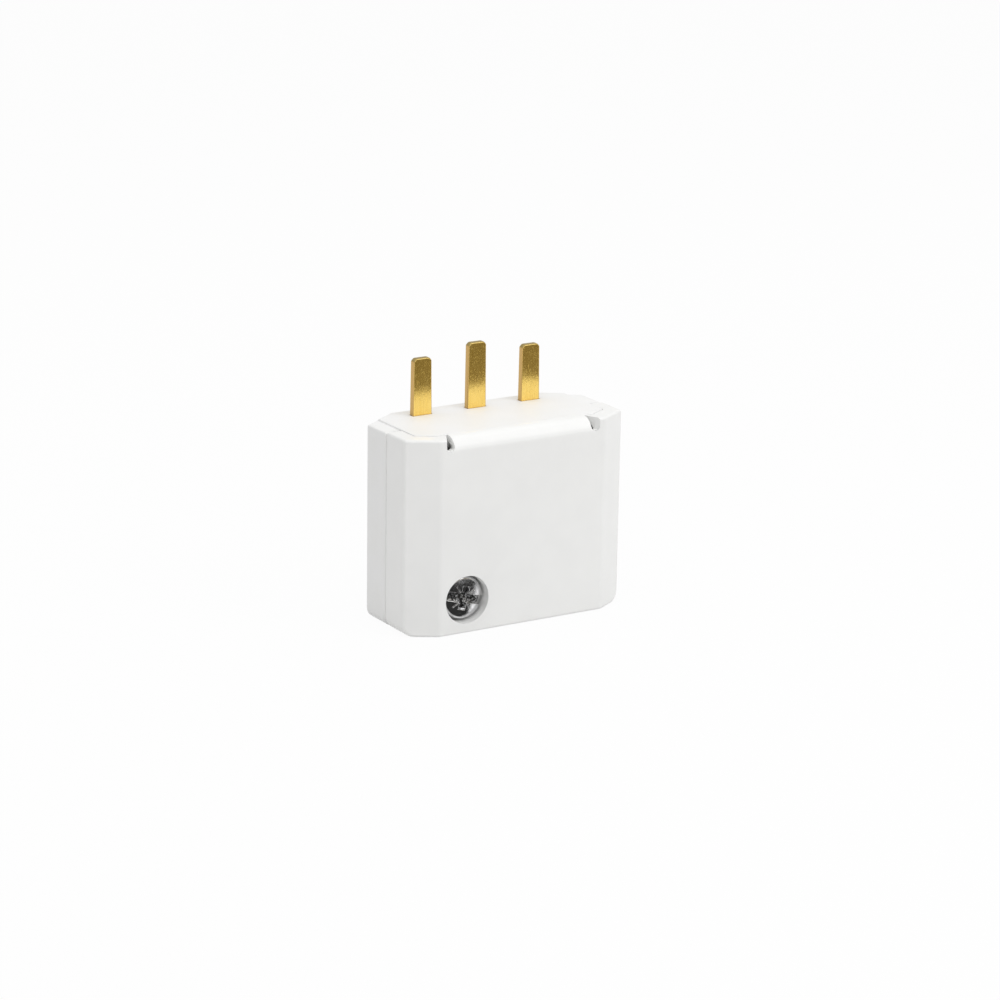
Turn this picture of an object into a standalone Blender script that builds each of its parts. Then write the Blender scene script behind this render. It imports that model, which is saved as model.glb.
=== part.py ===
"""Ceiling lamp plug: a two-shell moulded housing with three flat blades, screw terminals and a cord clamp.

Frame: metres, +Z up along the blades, X along the row of blades, the front cover faces -Y.
The origin is the middle of the underside, which the plug stands on.
"""

import math

import bmesh
import bpy
from mathutils import Matrix

MM = 0.001

# Housing, outside
BODY_WIDTH = 36.0 * MM
BODY_DEPTH = 16.6 * MM
BODY_HEIGHT = 28.7 * MM
REAR_RIM_DROP = 0.15 * MM
FRONT_FLAT_WIDTH = 27.0 * MM
FRONT_CORNER_DEPTH = 2.65 * MM
REAR_FLAT_WIDTH = 24.8 * MM
REAR_CORNER_DEPTH = 3.5 * MM
FOOT_RADIUS = 1.6 * MM
REAR_EDGE_ROUND = 0.35 * MM
COVER_EDGE_ROUND = 0.4 * MM
WALL = 1.6 * MM

# Joint between the shells
SEAM_FROM_REAR = 8.8 * MM
SEAM_GAP = 0.1 * MM
LAP_LENGTH = 1.4 * MM
LAP_DEPTH = 0.8 * MM
LAP_CLEARANCE = 0.15 * MM

# Raised deck that the blades stand on, and the cover's tongue in front of it
DECK_RISE = 0.1 * MM
DECK_THICKNESS = 2.1 * MM
DECK_RIM = 2.4 * MM
DECK_EDGE_ROUND = 0.15 * MM
TONGUE_WIDTH = 22.5 * MM
TONGUE_RADIUS = 2.2 * MM
TONGUE_SKIN = 1.0 * MM
TONGUE_HOLLOW_DROP = 3.0 * MM
NOTCH_WIDTH = 1.4 * MM
NOTCH_BACK_WIDTH = 0.2 * MM
NOTCH_DROP = 1.8 * MM
HOOK_WIDTH = 20.0 * MM
HOOK_REACH = 1.4 * MM
HOOK_THICKNESS = 1.2 * MM

# Fits
CLEARANCE = 0.3 * MM
SLIDING_GAP = 0.15 * MM
BLADE_GAP = 0.1 * MM

# Blades
POLE_PITCH = 9.0 * MM
BLADE_FROM_REAR = 3.05 * MM
BLADE_WIDTH = 3.1 * MM
BLADE_TIP_WIDTH = 2.9 * MM
BLADE_THICKNESS = 1.0 * MM
BLADE_REACH = 8.3 * MM
EARTH_LEAD = 1.3 * MM
TIP_CHAMFER = 0.4 * MM
TANG_DEPTH = 1.8 * MM
BLADE_BEVEL = 0.15 * MM

# Terminals
TERMINAL_WIDTH = 5.4 * MM
TERMINAL_DEPTH = 6.1 * MM
TERMINAL_HEIGHT = 7.8 * MM
TERMINAL_BEVEL = 0.3 * MM
CHAMBER_WIDTH = 3.0 * MM
CHAMBER_DEPTH = 2.6 * MM
CHAMBER_HEIGHT = 5.2 * MM
CHAMBER_BACK = 0.9 * MM
PLATE_THICKNESS = 0.7 * MM
PLATE_HEIGHT = 4.0 * MM
PLATE_TRAVEL = 1.0 * MM
POCKET_WALL = 0.9 * MM
POCKET_REACH = 4.9 * MM
SHELF_REACH = 0.8 * MM
SHELF_THICKNESS = 1.1 * MM
STOP_WEB_WIDTH = 1.2 * MM

# Terminal screws
TERMINAL_SCREW_DROP = 5.6 * MM
TERMINAL_SHANK_RADIUS = 1.45 * MM
TERMINAL_HEAD_RADIUS = 2.2 * MM
TERMINAL_HEAD_HEIGHT = 1.6 * MM
TERMINAL_SLOT_WIDTH = 0.7 * MM
TERMINAL_SLOT_DEPTH = 0.9 * MM

# Cover screw
COVER_SCREW_X = -9.05 * MM
COVER_SCREW_Z = 4.95 * MM
COVER_BORE_RADIUS = 3.5 * MM
COVER_BOSS_RADIUS = 4.4 * MM
COVER_HEAD_RADIUS = 3.15 * MM
COVER_HEAD_HEIGHT = 2.0 * MM
COVER_HEAD_RECESS = 0.8 * MM
COVER_HEAD_ROUND = 0.5 * MM
COVER_FLOOR = 1.4 * MM
COVER_SHANK_RADIUS = 1.7 * MM
COVER_TIP_SHORT = 0.1 * MM
COVER_SLOT_WIDTH = 1.3 * MM
COVER_SLOT_DEPTH = 1.1 * MM
COVER_SLOT_TILT = math.radians(14.0)
COVER_CROSS_SPAN = 3.6 * MM
COVER_CROSS_DEPTH = 1.5 * MM

# Retaining washer on the cover screw, and its threaded insert
WASHER_RADIUS = 2.6 * MM
WASHER_THICKNESS = 0.8 * MM
WASHER_ROOM = 1.75 * MM
INSERT_RADIUS = 2.9 * MM
INSERT_LENGTH = 3.1 * MM
INSERT_KNURLS = 20
INSERT_KNURL_DEPTH = 0.2 * MM
INSERT_BOSS_REACH = 4.6 * MM

# Cord entry and cord clamp
CORD_ENTRY_RADIUS = 3.8 * MM
CLAMP_Z = 11.4 * MM
CLAMP_HEIGHT = 4.2 * MM
CLAMP_THICKNESS = 2.0 * MM
CLAMP_LENGTH = 16.4 * MM
CLAMP_HEAD_ROOM = 0.6 * MM
CLAMP_TRAVEL = 3.0 * MM
CLAMP_BEVEL = 0.4 * MM
CLAMP_END = 2.5 * MM
CLAMP_SHANK_RADIUS = 1.3 * MM
CLAMP_ENGAGEMENT = 1.45 * MM
CLAMP_HEAD_RADIUS = 2.15 * MM
CLAMP_HEAD_HEIGHT = 1.5 * MM
CLAMP_CROSS_WIDTH = 0.65 * MM
CLAMP_CROSS_SPAN = 2.6 * MM
CLAMP_BOSS_RADIUS = 2.3 * MM
CLAMP_BOSS_REACH = 4.6 * MM
GRIP_WIDTH = 6.0 * MM
GRIP_HEIGHT = 3.0 * MM
GRIP_REACH = 2.2 * MM
GRIP_FOOT = 0.1 * MM
GRIP_RIDGE = 0.4 * MM
GRIP_RIDGES = 3

# Facets and spare length
ROUND_STEPS = 40
SMALL_STEPS = 24
ARC_STEPS = 8
FOOT_STEPS = 6
OVERCUT = 1.0 * MM
OVERLAP = 0.3 * MM
WELD = 1.0e-7

# Places that follow from the sizes above
HALF_WIDTH = BODY_WIDTH / 2
HALF_DEPTH = BODY_DEPTH / 2
SEAM_Y = HALF_DEPTH - SEAM_FROM_REAR
INNER_REAR_Y = HALF_DEPTH - WALL
INNER_FRONT_Y = -HALF_DEPTH + WALL
DECK_TOP_Z = BODY_HEIGHT + DECK_RISE
DECK_UNDER_Z = DECK_TOP_Z - DECK_THICKNESS
DECK_HALF_WIDTH = HALF_WIDTH - DECK_RIM
DECK_FRONT_Y = -HALF_DEPTH + DECK_RIM
TONGUE_HALF = TONGUE_WIDTH / 2
BLADE_Y = HALF_DEPTH - BLADE_FROM_REAR
TERMINAL_TOP_Z = DECK_UNDER_Z - CLEARANCE
TERMINAL_BOTTOM_Z = TERMINAL_TOP_Z - TERMINAL_HEIGHT
TERMINAL_BACK_Y = INNER_REAR_Y - CLEARANCE
TERMINAL_FRONT_Y = TERMINAL_BACK_Y - TERMINAL_DEPTH
CHAMBER_BACK_Y = TERMINAL_BACK_Y - CHAMBER_BACK
CHAMBER_FRONT_Y = CHAMBER_BACK_Y - CHAMBER_DEPTH
TERMINAL_SCREW_Z = TERMINAL_TOP_Z - TERMINAL_SCREW_DROP
PLATE_FRONT_Y = CHAMBER_FRONT_Y + PLATE_TRAVEL + SLIDING_GAP
COVER_HEAD_Y = -HALF_DEPTH + COVER_HEAD_RECESS
COVER_UNDERHEAD_Y = COVER_HEAD_Y + COVER_HEAD_HEIGHT
COVER_FLOOR_Y = COVER_UNDERHEAD_Y + CLEARANCE
INSERT_BOSS_Y = INNER_REAR_Y - INSERT_BOSS_REACH
WASHER_Y = INSERT_BOSS_Y - WASHER_ROOM - WASHER_THICKNESS
INSERT_BACK_Y = INSERT_BOSS_Y + INSERT_LENGTH
COVER_SHANK_LENGTH = INSERT_BACK_Y - COVER_TIP_SHORT - COVER_UNDERHEAD_Y
CLAMP_UNDERHEAD_Y = INNER_FRONT_Y + CLAMP_HEAD_ROOM + CLAMP_HEAD_HEIGHT
CLAMP_FRONT_Y = CLAMP_UNDERHEAD_Y + SLIDING_GAP
CLAMP_BACK_Y = CLAMP_FRONT_Y + CLAMP_THICKNESS
CLAMP_BOSS_Y = INNER_REAR_Y - CLAMP_BOSS_REACH
CLAMP_SHANK_LENGTH = CLAMP_BOSS_Y + CLAMP_ENGAGEMENT - CLAMP_UNDERHEAD_Y
CLAMP_SCREW_X = CLAMP_LENGTH / 2 - CLAMP_END

# Name, place along the row, and extra length of each pole
POLES = (
    ("line", -POLE_PITCH, 0.0),
    ("earth", 0.0, EARTH_LEAD),
    ("neutral", POLE_PITCH, 0.0),
)

# Width and depth of the slanted corners of each shell: +1 is the rear shell and -1 the cover
CORNERS = {
    1: ((BODY_WIDTH - REAR_FLAT_WIDTH) / 2, REAR_CORNER_DEPTH),
    -1: ((BODY_WIDTH - FRONT_FLAT_WIDTH) / 2, FRONT_CORNER_DEPTH),
}

# How an outline drawn flat turns into each plane: flat x, flat y and its thickness
PLANES = {
    "XY": Matrix(((1, 0, 0, 0), (0, 1, 0, 0), (0, 0, 1, 0), (0, 0, 0, 1))),
    "XZ": Matrix(((1, 0, 0, 0), (0, 0, -1, 0), (0, 1, 0, 0), (0, 0, 0, 1))),
    "YZ": Matrix(((0, 0, 1, 0), (1, 0, 0, 0), (0, 1, 0, 0), (0, 0, 0, 1))),
}


def clear_scene():
    """Remove every object that the file opened with."""
    for obj in list(bpy.data.objects):
        bpy.data.objects.remove(obj, do_unlink=True)


def new_collection(name):
    collection = bpy.data.collections.new(name)
    bpy.context.scene.collection.children.link(collection)
    return collection


def new_material(name, colour, roughness, metallic):
    material = bpy.data.materials.new(name)
    material.use_nodes = True
    shader = material.node_tree.nodes["Principled BSDF"]
    shader.inputs["Base Color"].default_value = (*colour, 1.0)
    shader.inputs["Roughness"].default_value = roughness
    shader.inputs["Metallic"].default_value = metallic
    material.diffuse_color = (*colour, 1.0)
    return material


clear_scene()
PARTS = new_collection("ceiling_lamp_plug")
TOOLS = new_collection("cutters")

REAR_WHITE = new_material("rear_housing_white", (0.86, 0.86, 0.84), 0.32, 0.0)
COVER_WHITE = new_material("front_cover_white", (0.87, 0.87, 0.85), 0.30, 0.0)
BLADE_BRASS = new_material("blade_brass", (0.80, 0.58, 0.22), 0.24, 1.0)
TERMINAL_BRASS = new_material("terminal_brass", (0.72, 0.55, 0.26), 0.35, 1.0)
PLATE_STEEL = new_material("clamp_plate_zinc", (0.66, 0.67, 0.68), 0.38, 1.0)
SCREW_STEEL = new_material("screw_zinc", (0.62, 0.62, 0.63), 0.28, 1.0)
INSERT_BRASS = new_material("insert_brass", (0.76, 0.58, 0.28), 0.34, 1.0)
WASHER_FIBRE = new_material("washer_fibre", (0.42, 0.16, 0.11), 0.70, 0.0)
CLAMP_WHITE = new_material("cord_clamp_white", (0.82, 0.82, 0.80), 0.42, 0.0)


def add_mesh_object(name, mesh, collection):
    obj = bpy.data.objects.new(name, mesh)
    collection.objects.link(obj)
    return obj


def as_tool(obj):
    """Keep a cutter or a joined-on block out of the finished part."""
    for collection in list(obj.users_collection):
        collection.objects.unlink(obj)
    TOOLS.objects.link(obj)
    obj.hide_render = True
    obj.display_type = "WIRE"
    return obj


def as_part(obj, material):
    """Put a finished piece among the parts, in its own material."""
    for collection in list(obj.users_collection):
        collection.objects.unlink(obj)
    PARTS.objects.link(obj)
    obj.data.materials.clear()
    obj.data.materials.append(material)
    return obj


def from_bmesh(name, shape):
    mesh = bpy.data.meshes.new(name)
    shape.to_mesh(mesh)
    shape.free()
    return add_mesh_object(name, mesh, TOOLS)


def box(name, low, high):
    """A block between two opposite corners."""
    shape = bmesh.new()
    bmesh.ops.create_cube(shape, size=1.0)
    size = Matrix.Diagonal((high[0] - low[0], high[1] - low[1], high[2] - low[2], 1.0))
    middle = Matrix.Translation([(a + b) / 2 for a, b in zip(low, high)])
    bmesh.ops.transform(shape, matrix=middle @ size, verts=shape.verts)
    return from_bmesh(name, shape)


def rod_y(name, x, z, radius, front, back, steps=ROUND_STEPS):
    """A round rod along Y between its front and back ends."""
    shape = bmesh.new()
    bmesh.ops.create_cone(
        shape, cap_ends=True, segments=steps, radius1=radius, radius2=radius, depth=back - front
    )
    turn = Matrix.Rotation(math.pi / 2, 4, "X")
    place = Matrix.Translation((x, (front + back) / 2, z))
    bmesh.ops.transform(shape, matrix=place @ turn, verts=shape.verts)
    return from_bmesh(name, shape)


def rod_z(name, x, y, radius, bottom, top, steps=ROUND_STEPS):
    """A round rod along Z between its bottom and top ends."""
    shape = bmesh.new()
    bmesh.ops.create_cone(
        shape, cap_ends=True, segments=steps, radius1=radius, radius2=radius, depth=top - bottom
    )
    bmesh.ops.translate(shape, vec=(x, y, (bottom + top) / 2), verts=shape.verts)
    return from_bmesh(name, shape)


def arc(centre, radius, start, end, steps):
    """Points round an arc, from the start angle to the end angle in degrees, both ends included."""
    points = []
    for index in range(steps + 1):
        angle = math.radians(start + (end - start) * index / steps)
        points.append((centre[0] + radius * math.cos(angle), centre[1] + radius * math.sin(angle)))
    return points


def outline_solid(name, points, plane, low, high):
    """A flat outline thickened at right angles to its plane, from low to high."""
    curve = bpy.data.curves.new(name, "CURVE")
    curve.dimensions = "2D"
    curve.fill_mode = "BOTH"
    curve.extrude = (high - low) / 2
    spline = curve.splines.new("POLY")
    spline.points.add(len(points) - 1)
    for point, (x, y) in zip(spline.points, points):
        point.co = (x, y, 0.0, 1.0)
    spline.use_cyclic_u = True
    guide = bpy.data.objects.new(name + "_outline", curve)
    TOOLS.objects.link(guide)
    bpy.context.view_layer.update()
    graph = bpy.context.evaluated_depsgraph_get()
    mesh = bpy.data.meshes.new_from_object(guide.evaluated_get(graph))
    bpy.data.objects.remove(guide, do_unlink=True)
    shape = bmesh.new()
    shape.from_mesh(mesh)
    bpy.data.meshes.remove(mesh)
    bmesh.ops.remove_doubles(shape, verts=shape.verts, dist=WELD)
    bmesh.ops.dissolve_limit(
        shape, angle_limit=math.radians(0.5), verts=shape.verts, edges=shape.edges
    )
    middle = (low + high) / 2
    # The XZ plane's thickness points to -Y, so its middle changes sign there.
    shift = -middle if plane == "XZ" else middle
    bmesh.ops.translate(shape, vec=(0.0, 0.0, shift), verts=shape.verts)
    bmesh.ops.transform(shape, matrix=PLANES[plane], verts=shape.verts)
    bmesh.ops.recalc_face_normals(shape, faces=shape.faces)
    return from_bmesh(name, shape)


def turned(name, profile, place, steps):
    """A turned piece: its profile runs from the head's face to the tip, and the head faces -Y."""
    mesh = bpy.data.meshes.new(name)
    points = [(radius, 0.0, height) for radius, height in profile]
    mesh.from_pydata(points, [(i, i + 1) for i in range(len(points) - 1)], [])
    obj = add_mesh_object(name, mesh, TOOLS)
    obj.location = place
    obj.rotation_euler = (math.pi / 2, 0.0, 0.0)
    screw = obj.modifiers.new("turn", "SCREW")
    screw.steps = steps
    screw.render_steps = steps
    screw.use_merge_vertices = True
    screw.merge_threshold = WELD
    return obj


def boolean(target, tool, operation):
    modifier = target.modifiers.new(f"{operation.lower()}_{tool.name}", "BOOLEAN")
    modifier.operation = operation
    modifier.solver = "EXACT"
    modifier.object = as_tool(tool)
    return target


def cut(target, *tools):
    for tool in tools:
        boolean(target, tool, "DIFFERENCE")
    return target


def join(target, *tools):
    for tool in tools:
        boolean(target, tool, "UNION")
    return target


def round_edges(obj, width, steps=2, angle=25.0):
    bevel = obj.modifiers.new("rounded_edges", "BEVEL")
    bevel.width = width
    bevel.segments = steps
    bevel.limit_method = "ANGLE"
    bevel.angle_limit = math.radians(angle)
    bevel.use_clamp_overlap = True
    return obj


def shade(obj):
    obj.data.shade_smooth()
    if len(obj.data.polygons):
        obj.data.set_sharp_from_angle(angle=math.radians(30.0))
    return obj


def corner_inset(inset, side):
    """Where a slanted corner, moved inwards, meets the moved end wall and the moved long wall."""
    width, depth = CORNERS[side]
    slope = math.hypot(width, depth)
    reach = (depth * HALF_WIDTH + width * (HALF_DEPTH - depth)) / slope - inset
    y_at_end = (slope * reach - depth * (HALF_WIDTH - inset)) / width
    x_at_long = (slope * reach - width * (HALF_DEPTH - inset)) / depth
    return x_at_long, y_at_end


def half_plan(inset, side, start_y):
    """Half of the eight-sided plan, inset all round: side +1 is the rear half and -1 the front half."""
    x_at_long, y_at_end = corner_inset(inset, side)
    end_x = HALF_WIDTH - inset
    long_y = HALF_DEPTH - inset
    return [
        (-end_x, start_y),
        (-end_x, side * y_at_end),
        (-x_at_long, side * long_y),
        (x_at_long, side * long_y),
        (end_x, side * y_at_end),
        (end_x, start_y),
    ]


def shell_block(name, side, height, edge_round):
    """The outside of one shell: rounded foot corners, slanted upright corners and soft edges."""
    seam = SEAM_Y + side * SEAM_GAP / 2
    width, depth = CORNERS[side]
    outline = [(-HALF_WIDTH, height)]
    outline += arc((-HALF_WIDTH + FOOT_RADIUS, FOOT_RADIUS), FOOT_RADIUS, 180, 270, FOOT_STEPS)
    outline += arc((HALF_WIDTH - FOOT_RADIUS, FOOT_RADIUS), FOOT_RADIUS, 270, 360, FOOT_STEPS)
    outline += [(HALF_WIDTH, height)]
    ends = sorted((seam, side * HALF_DEPTH))
    block = outline_solid(name, outline, "XZ", *ends)
    for hand in (-1, 1):
        corner = [
            (hand * (HALF_WIDTH - width - width), side * (HALF_DEPTH + depth)),
            (hand * (HALF_WIDTH + width), side * (HALF_DEPTH + depth)),
            (hand * (HALF_WIDTH + width), side * (HALF_DEPTH - depth - depth)),
        ]
        cutter = outline_solid(f"{name}_corner", corner, "XY", -OVERCUT, height + OVERCUT)
        cut(block, cutter)
    return round_edges(block, edge_round)


def cavity(name, side, inset, depth_from_seam, low, high):
    """The hollow of one shell, open at the seam."""
    start = SEAM_Y - side * depth_from_seam
    return outline_solid(name, half_plan(inset, side, start), "XY", low, high)


def deck_front(gap):
    """The deck's edge inside the cover, from left to right, moved out by a gap."""
    x_at_long, y_at_end = corner_inset(DECK_RIM - gap, -1)
    return [
        (-DECK_HALF_WIDTH - gap, -y_at_end),
        (-x_at_long, DECK_FRONT_Y - gap),
        (x_at_long, DECK_FRONT_Y - gap),
        (DECK_HALF_WIDTH + gap, -y_at_end),
    ]


def deck_block():
    """The raised deck: it covers the rear shell and reaches forward to the cover's tongue."""
    x_at_long, y_at_end = corner_inset(REAR_EDGE_ROUND, 1)
    back_y = HALF_DEPTH - REAR_EDGE_ROUND
    slope = (back_y - y_at_end) / (HALF_WIDTH - REAR_EDGE_ROUND - x_at_long)
    corner_y = y_at_end + slope * (HALF_WIDTH - REAR_EDGE_ROUND - DECK_HALF_WIDTH)
    outline = deck_front(0.0)
    outline += [
        (DECK_HALF_WIDTH, corner_y),
        (x_at_long, back_y),
        (-x_at_long, back_y),
        (-DECK_HALF_WIDTH, corner_y),
    ]
    deck = outline_solid("deck", outline, "XY", DECK_UNDER_Z, DECK_TOP_Z)
    return round_edges(deck, DECK_EDGE_ROUND)


def lap_ring():
    """The thin lip on the rear shell that reaches inside the cover's rim."""
    inset = LAP_DEPTH + LAP_CLEARANCE
    lip = cavity("lap_ring", 1, inset, LAP_LENGTH, inset, BODY_HEIGHT - inset)
    hollow = cavity("lap_hollow", 1, WALL, LAP_LENGTH + OVERCUT, WALL, BODY_HEIGHT - WALL)
    return cut(lip, hollow)


def ridge_outline(face_y, back_y, way):
    """A gripping face seen from the side, with V ridges that point towards -Y or +Y."""
    low = CLAMP_Z - GRIP_HEIGHT / 2
    pitch = GRIP_HEIGHT / GRIP_RIDGES
    outline = [(back_y, low)]
    for index in range(GRIP_RIDGES):
        outline.append((face_y, low + index * pitch))
        outline.append((face_y + way * GRIP_RIDGE, low + (index + 0.5) * pitch))
    outline.append((face_y, low + GRIP_RIDGES * pitch))
    outline.append((back_y, low + GRIP_RIDGES * pitch))
    return outline


def make_rear_housing():
    housing = shell_block("rear_housing", 1, BODY_HEIGHT - REAR_RIM_DROP, REAR_EDGE_ROUND)
    cut(housing, cavity("rear_hollow", 1, WALL, OVERCUT, WALL, BODY_HEIGHT - WALL))
    join(housing, lap_ring(), deck_block())

    # Boss for the threaded insert of the cover screw
    boss = rod_y(
        "insert_boss", COVER_SCREW_X, COVER_SCREW_Z, COVER_BOSS_RADIUS,
        INSERT_BOSS_Y, INNER_REAR_Y + OVERLAP,
    )
    join(housing, boss)

    # Bosses for the cord clamp's screws, and the ridged seat that the cord is pressed against
    for hand in (-1, 1):
        boss = rod_y(
            "clamp_boss", hand * CLAMP_SCREW_X, CLAMP_Z, CLAMP_BOSS_RADIUS,
            CLAMP_BOSS_Y, INNER_REAR_Y + OVERLAP, SMALL_STEPS,
        )
        join(housing, boss)
    grip = ridge_outline(INNER_REAR_Y - GRIP_REACH, INNER_REAR_Y + OVERLAP, -1)
    join(housing, outline_solid("cord_seat", grip, "YZ", -GRIP_WIDTH / 2, GRIP_WIDTH / 2))

    # Two pocket walls and a shelf hold each terminal
    for pole, x, _ in POLES:
        for hand in (-1, 1):
            near = x + hand * (TERMINAL_WIDTH / 2 + CLEARANCE)
            far = near + hand * POCKET_WALL
            wall = box(
                f"{pole}_pocket_wall",
                (min(near, far), INNER_REAR_Y - POCKET_REACH, TERMINAL_BOTTOM_Z - SHELF_THICKNESS),
                (max(near, far), INNER_REAR_Y + OVERLAP, DECK_UNDER_Z + OVERLAP),
            )
            join(housing, wall)
        shelf = box(
            f"{pole}_shelf",
            (x - TERMINAL_WIDTH / 2 - CLEARANCE - OVERLAP, INNER_REAR_Y - SHELF_REACH,
             TERMINAL_BOTTOM_Z - CLEARANCE - SHELF_THICKNESS),
            (x + TERMINAL_WIDTH / 2 + CLEARANCE + OVERLAP, INNER_REAR_Y + OVERLAP,
             TERMINAL_BOTTOM_Z - CLEARANCE),
        )
        join(housing, shelf)

    # Slots that the blades pass through
    for pole, x, _ in POLES:
        slot = box(
            f"{pole}_blade_slot",
            (x - BLADE_WIDTH / 2 - BLADE_GAP, BLADE_Y - BLADE_THICKNESS / 2 - BLADE_GAP,
             DECK_UNDER_Z - OVERCUT),
            (x + BLADE_WIDTH / 2 + BLADE_GAP, BLADE_Y + BLADE_THICKNESS / 2 + BLADE_GAP,
             DECK_TOP_Z + OVERCUT),
        )
        cut(housing, slot)

    # Bores of the insert, of the screw's tip behind it, and of the clamp screws
    bore_back = INSERT_BACK_Y + SLIDING_GAP
    cut(
        housing,
        rod_y("insert_bore", COVER_SCREW_X, COVER_SCREW_Z, INSERT_RADIUS + SLIDING_GAP,
              INSERT_BOSS_Y - OVERCUT, bore_back),
        rod_y("tip_bore", COVER_SCREW_X, COVER_SCREW_Z, COVER_SHANK_RADIUS + CLEARANCE,
              INSERT_BOSS_Y, bore_back + CLEARANCE, SMALL_STEPS),
    )
    clamp_tip = CLAMP_UNDERHEAD_Y + CLAMP_SHANK_LENGTH + CLAMP_TRAVEL
    for hand in (-1, 1):
        bore = rod_y(
            "clamp_bore", hand * CLAMP_SCREW_X, CLAMP_Z, CLAMP_SHANK_RADIUS + SLIDING_GAP,
            CLAMP_BOSS_Y - OVERCUT, clamp_tip + CLEARANCE, SMALL_STEPS,
        )
        cut(housing, bore)

    cut(housing, rod_z("rear_cord_entry", 0.0, SEAM_Y, CORD_ENTRY_RADIUS, -OVERCUT, WALL + OVERCUT))
    return as_part(housing, REAR_WHITE)


def tongue_round():
    """What is cut away above and in front of the tongue's rounded edge."""
    centre = (-HALF_DEPTH + TONGUE_RADIUS, DECK_TOP_Z - TONGUE_RADIUS)
    outline = [(-HALF_DEPTH - OVERCUT, centre[1])]
    outline += arc(centre, TONGUE_RADIUS, 180, 90, ARC_STEPS)
    outline += [(centre[0], DECK_TOP_Z + OVERCUT), (-HALF_DEPTH - OVERCUT, DECK_TOP_Z + OVERCUT)]
    half = TONGUE_HALF + NOTCH_WIDTH / 2
    return outline_solid("tongue_round", outline, "YZ", -half, half)


def tongue_hollow(hand):
    """What is cut away behind one end of the tongue, so that only its skin is left there."""
    centre = (-HALF_DEPTH + TONGUE_RADIUS, DECK_TOP_Z - TONGUE_RADIUS)
    skin_y = -HALF_DEPTH + TONGUE_SKIN
    low = BODY_HEIGHT - TONGUE_HOLLOW_DROP
    outline = [(skin_y, low)]
    outline += arc(centre, TONGUE_RADIUS - TONGUE_SKIN, 180, 90, ARC_STEPS)
    outline += [(DECK_FRONT_Y + OVERLAP, DECK_TOP_Z - TONGUE_SKIN), (DECK_FRONT_Y + OVERLAP, low)]
    ends = sorted((hand * HOOK_WIDTH / 2, hand * (TONGUE_HALF + NOTCH_WIDTH)))
    return outline_solid("tongue_hollow", outline, "YZ", *ends)


def notch(hand):
    """The slot with a round bottom that parts the tongue from a shoulder of the cover, narrow at the back."""
    inner = hand * TONGUE_HALF
    outer = inner + hand * NOTCH_WIDTH
    left, right = min(inner, outer), max(inner, outer)
    radius = NOTCH_WIDTH / 2
    bottom = BODY_HEIGHT - NOTCH_DROP + radius
    outline = [(left, DECK_TOP_Z + OVERCUT)]
    outline += arc(((left + right) / 2, bottom), radius, 180, 360, ARC_STEPS)
    outline += [(right, DECK_TOP_Z + OVERCUT)]
    slot = outline_solid("notch", outline, "XZ", -HALF_DEPTH - OVERCUT, DECK_FRONT_Y)
    shoulder = [
        (outer, -HALF_DEPTH),
        (inner + hand * NOTCH_BACK_WIDTH, DECK_FRONT_Y),
        (inner + hand * NOTCH_BACK_WIDTH, DECK_FRONT_Y + OVERCUT),
        (outer + hand * OVERCUT, DECK_FRONT_Y + OVERCUT),
        (outer + hand * OVERCUT, -HALF_DEPTH),
    ]
    return cut(slot, outline_solid("notch_shoulder", shoulder, "XY", 0.0, DECK_TOP_Z + 2 * OVERCUT))


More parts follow.
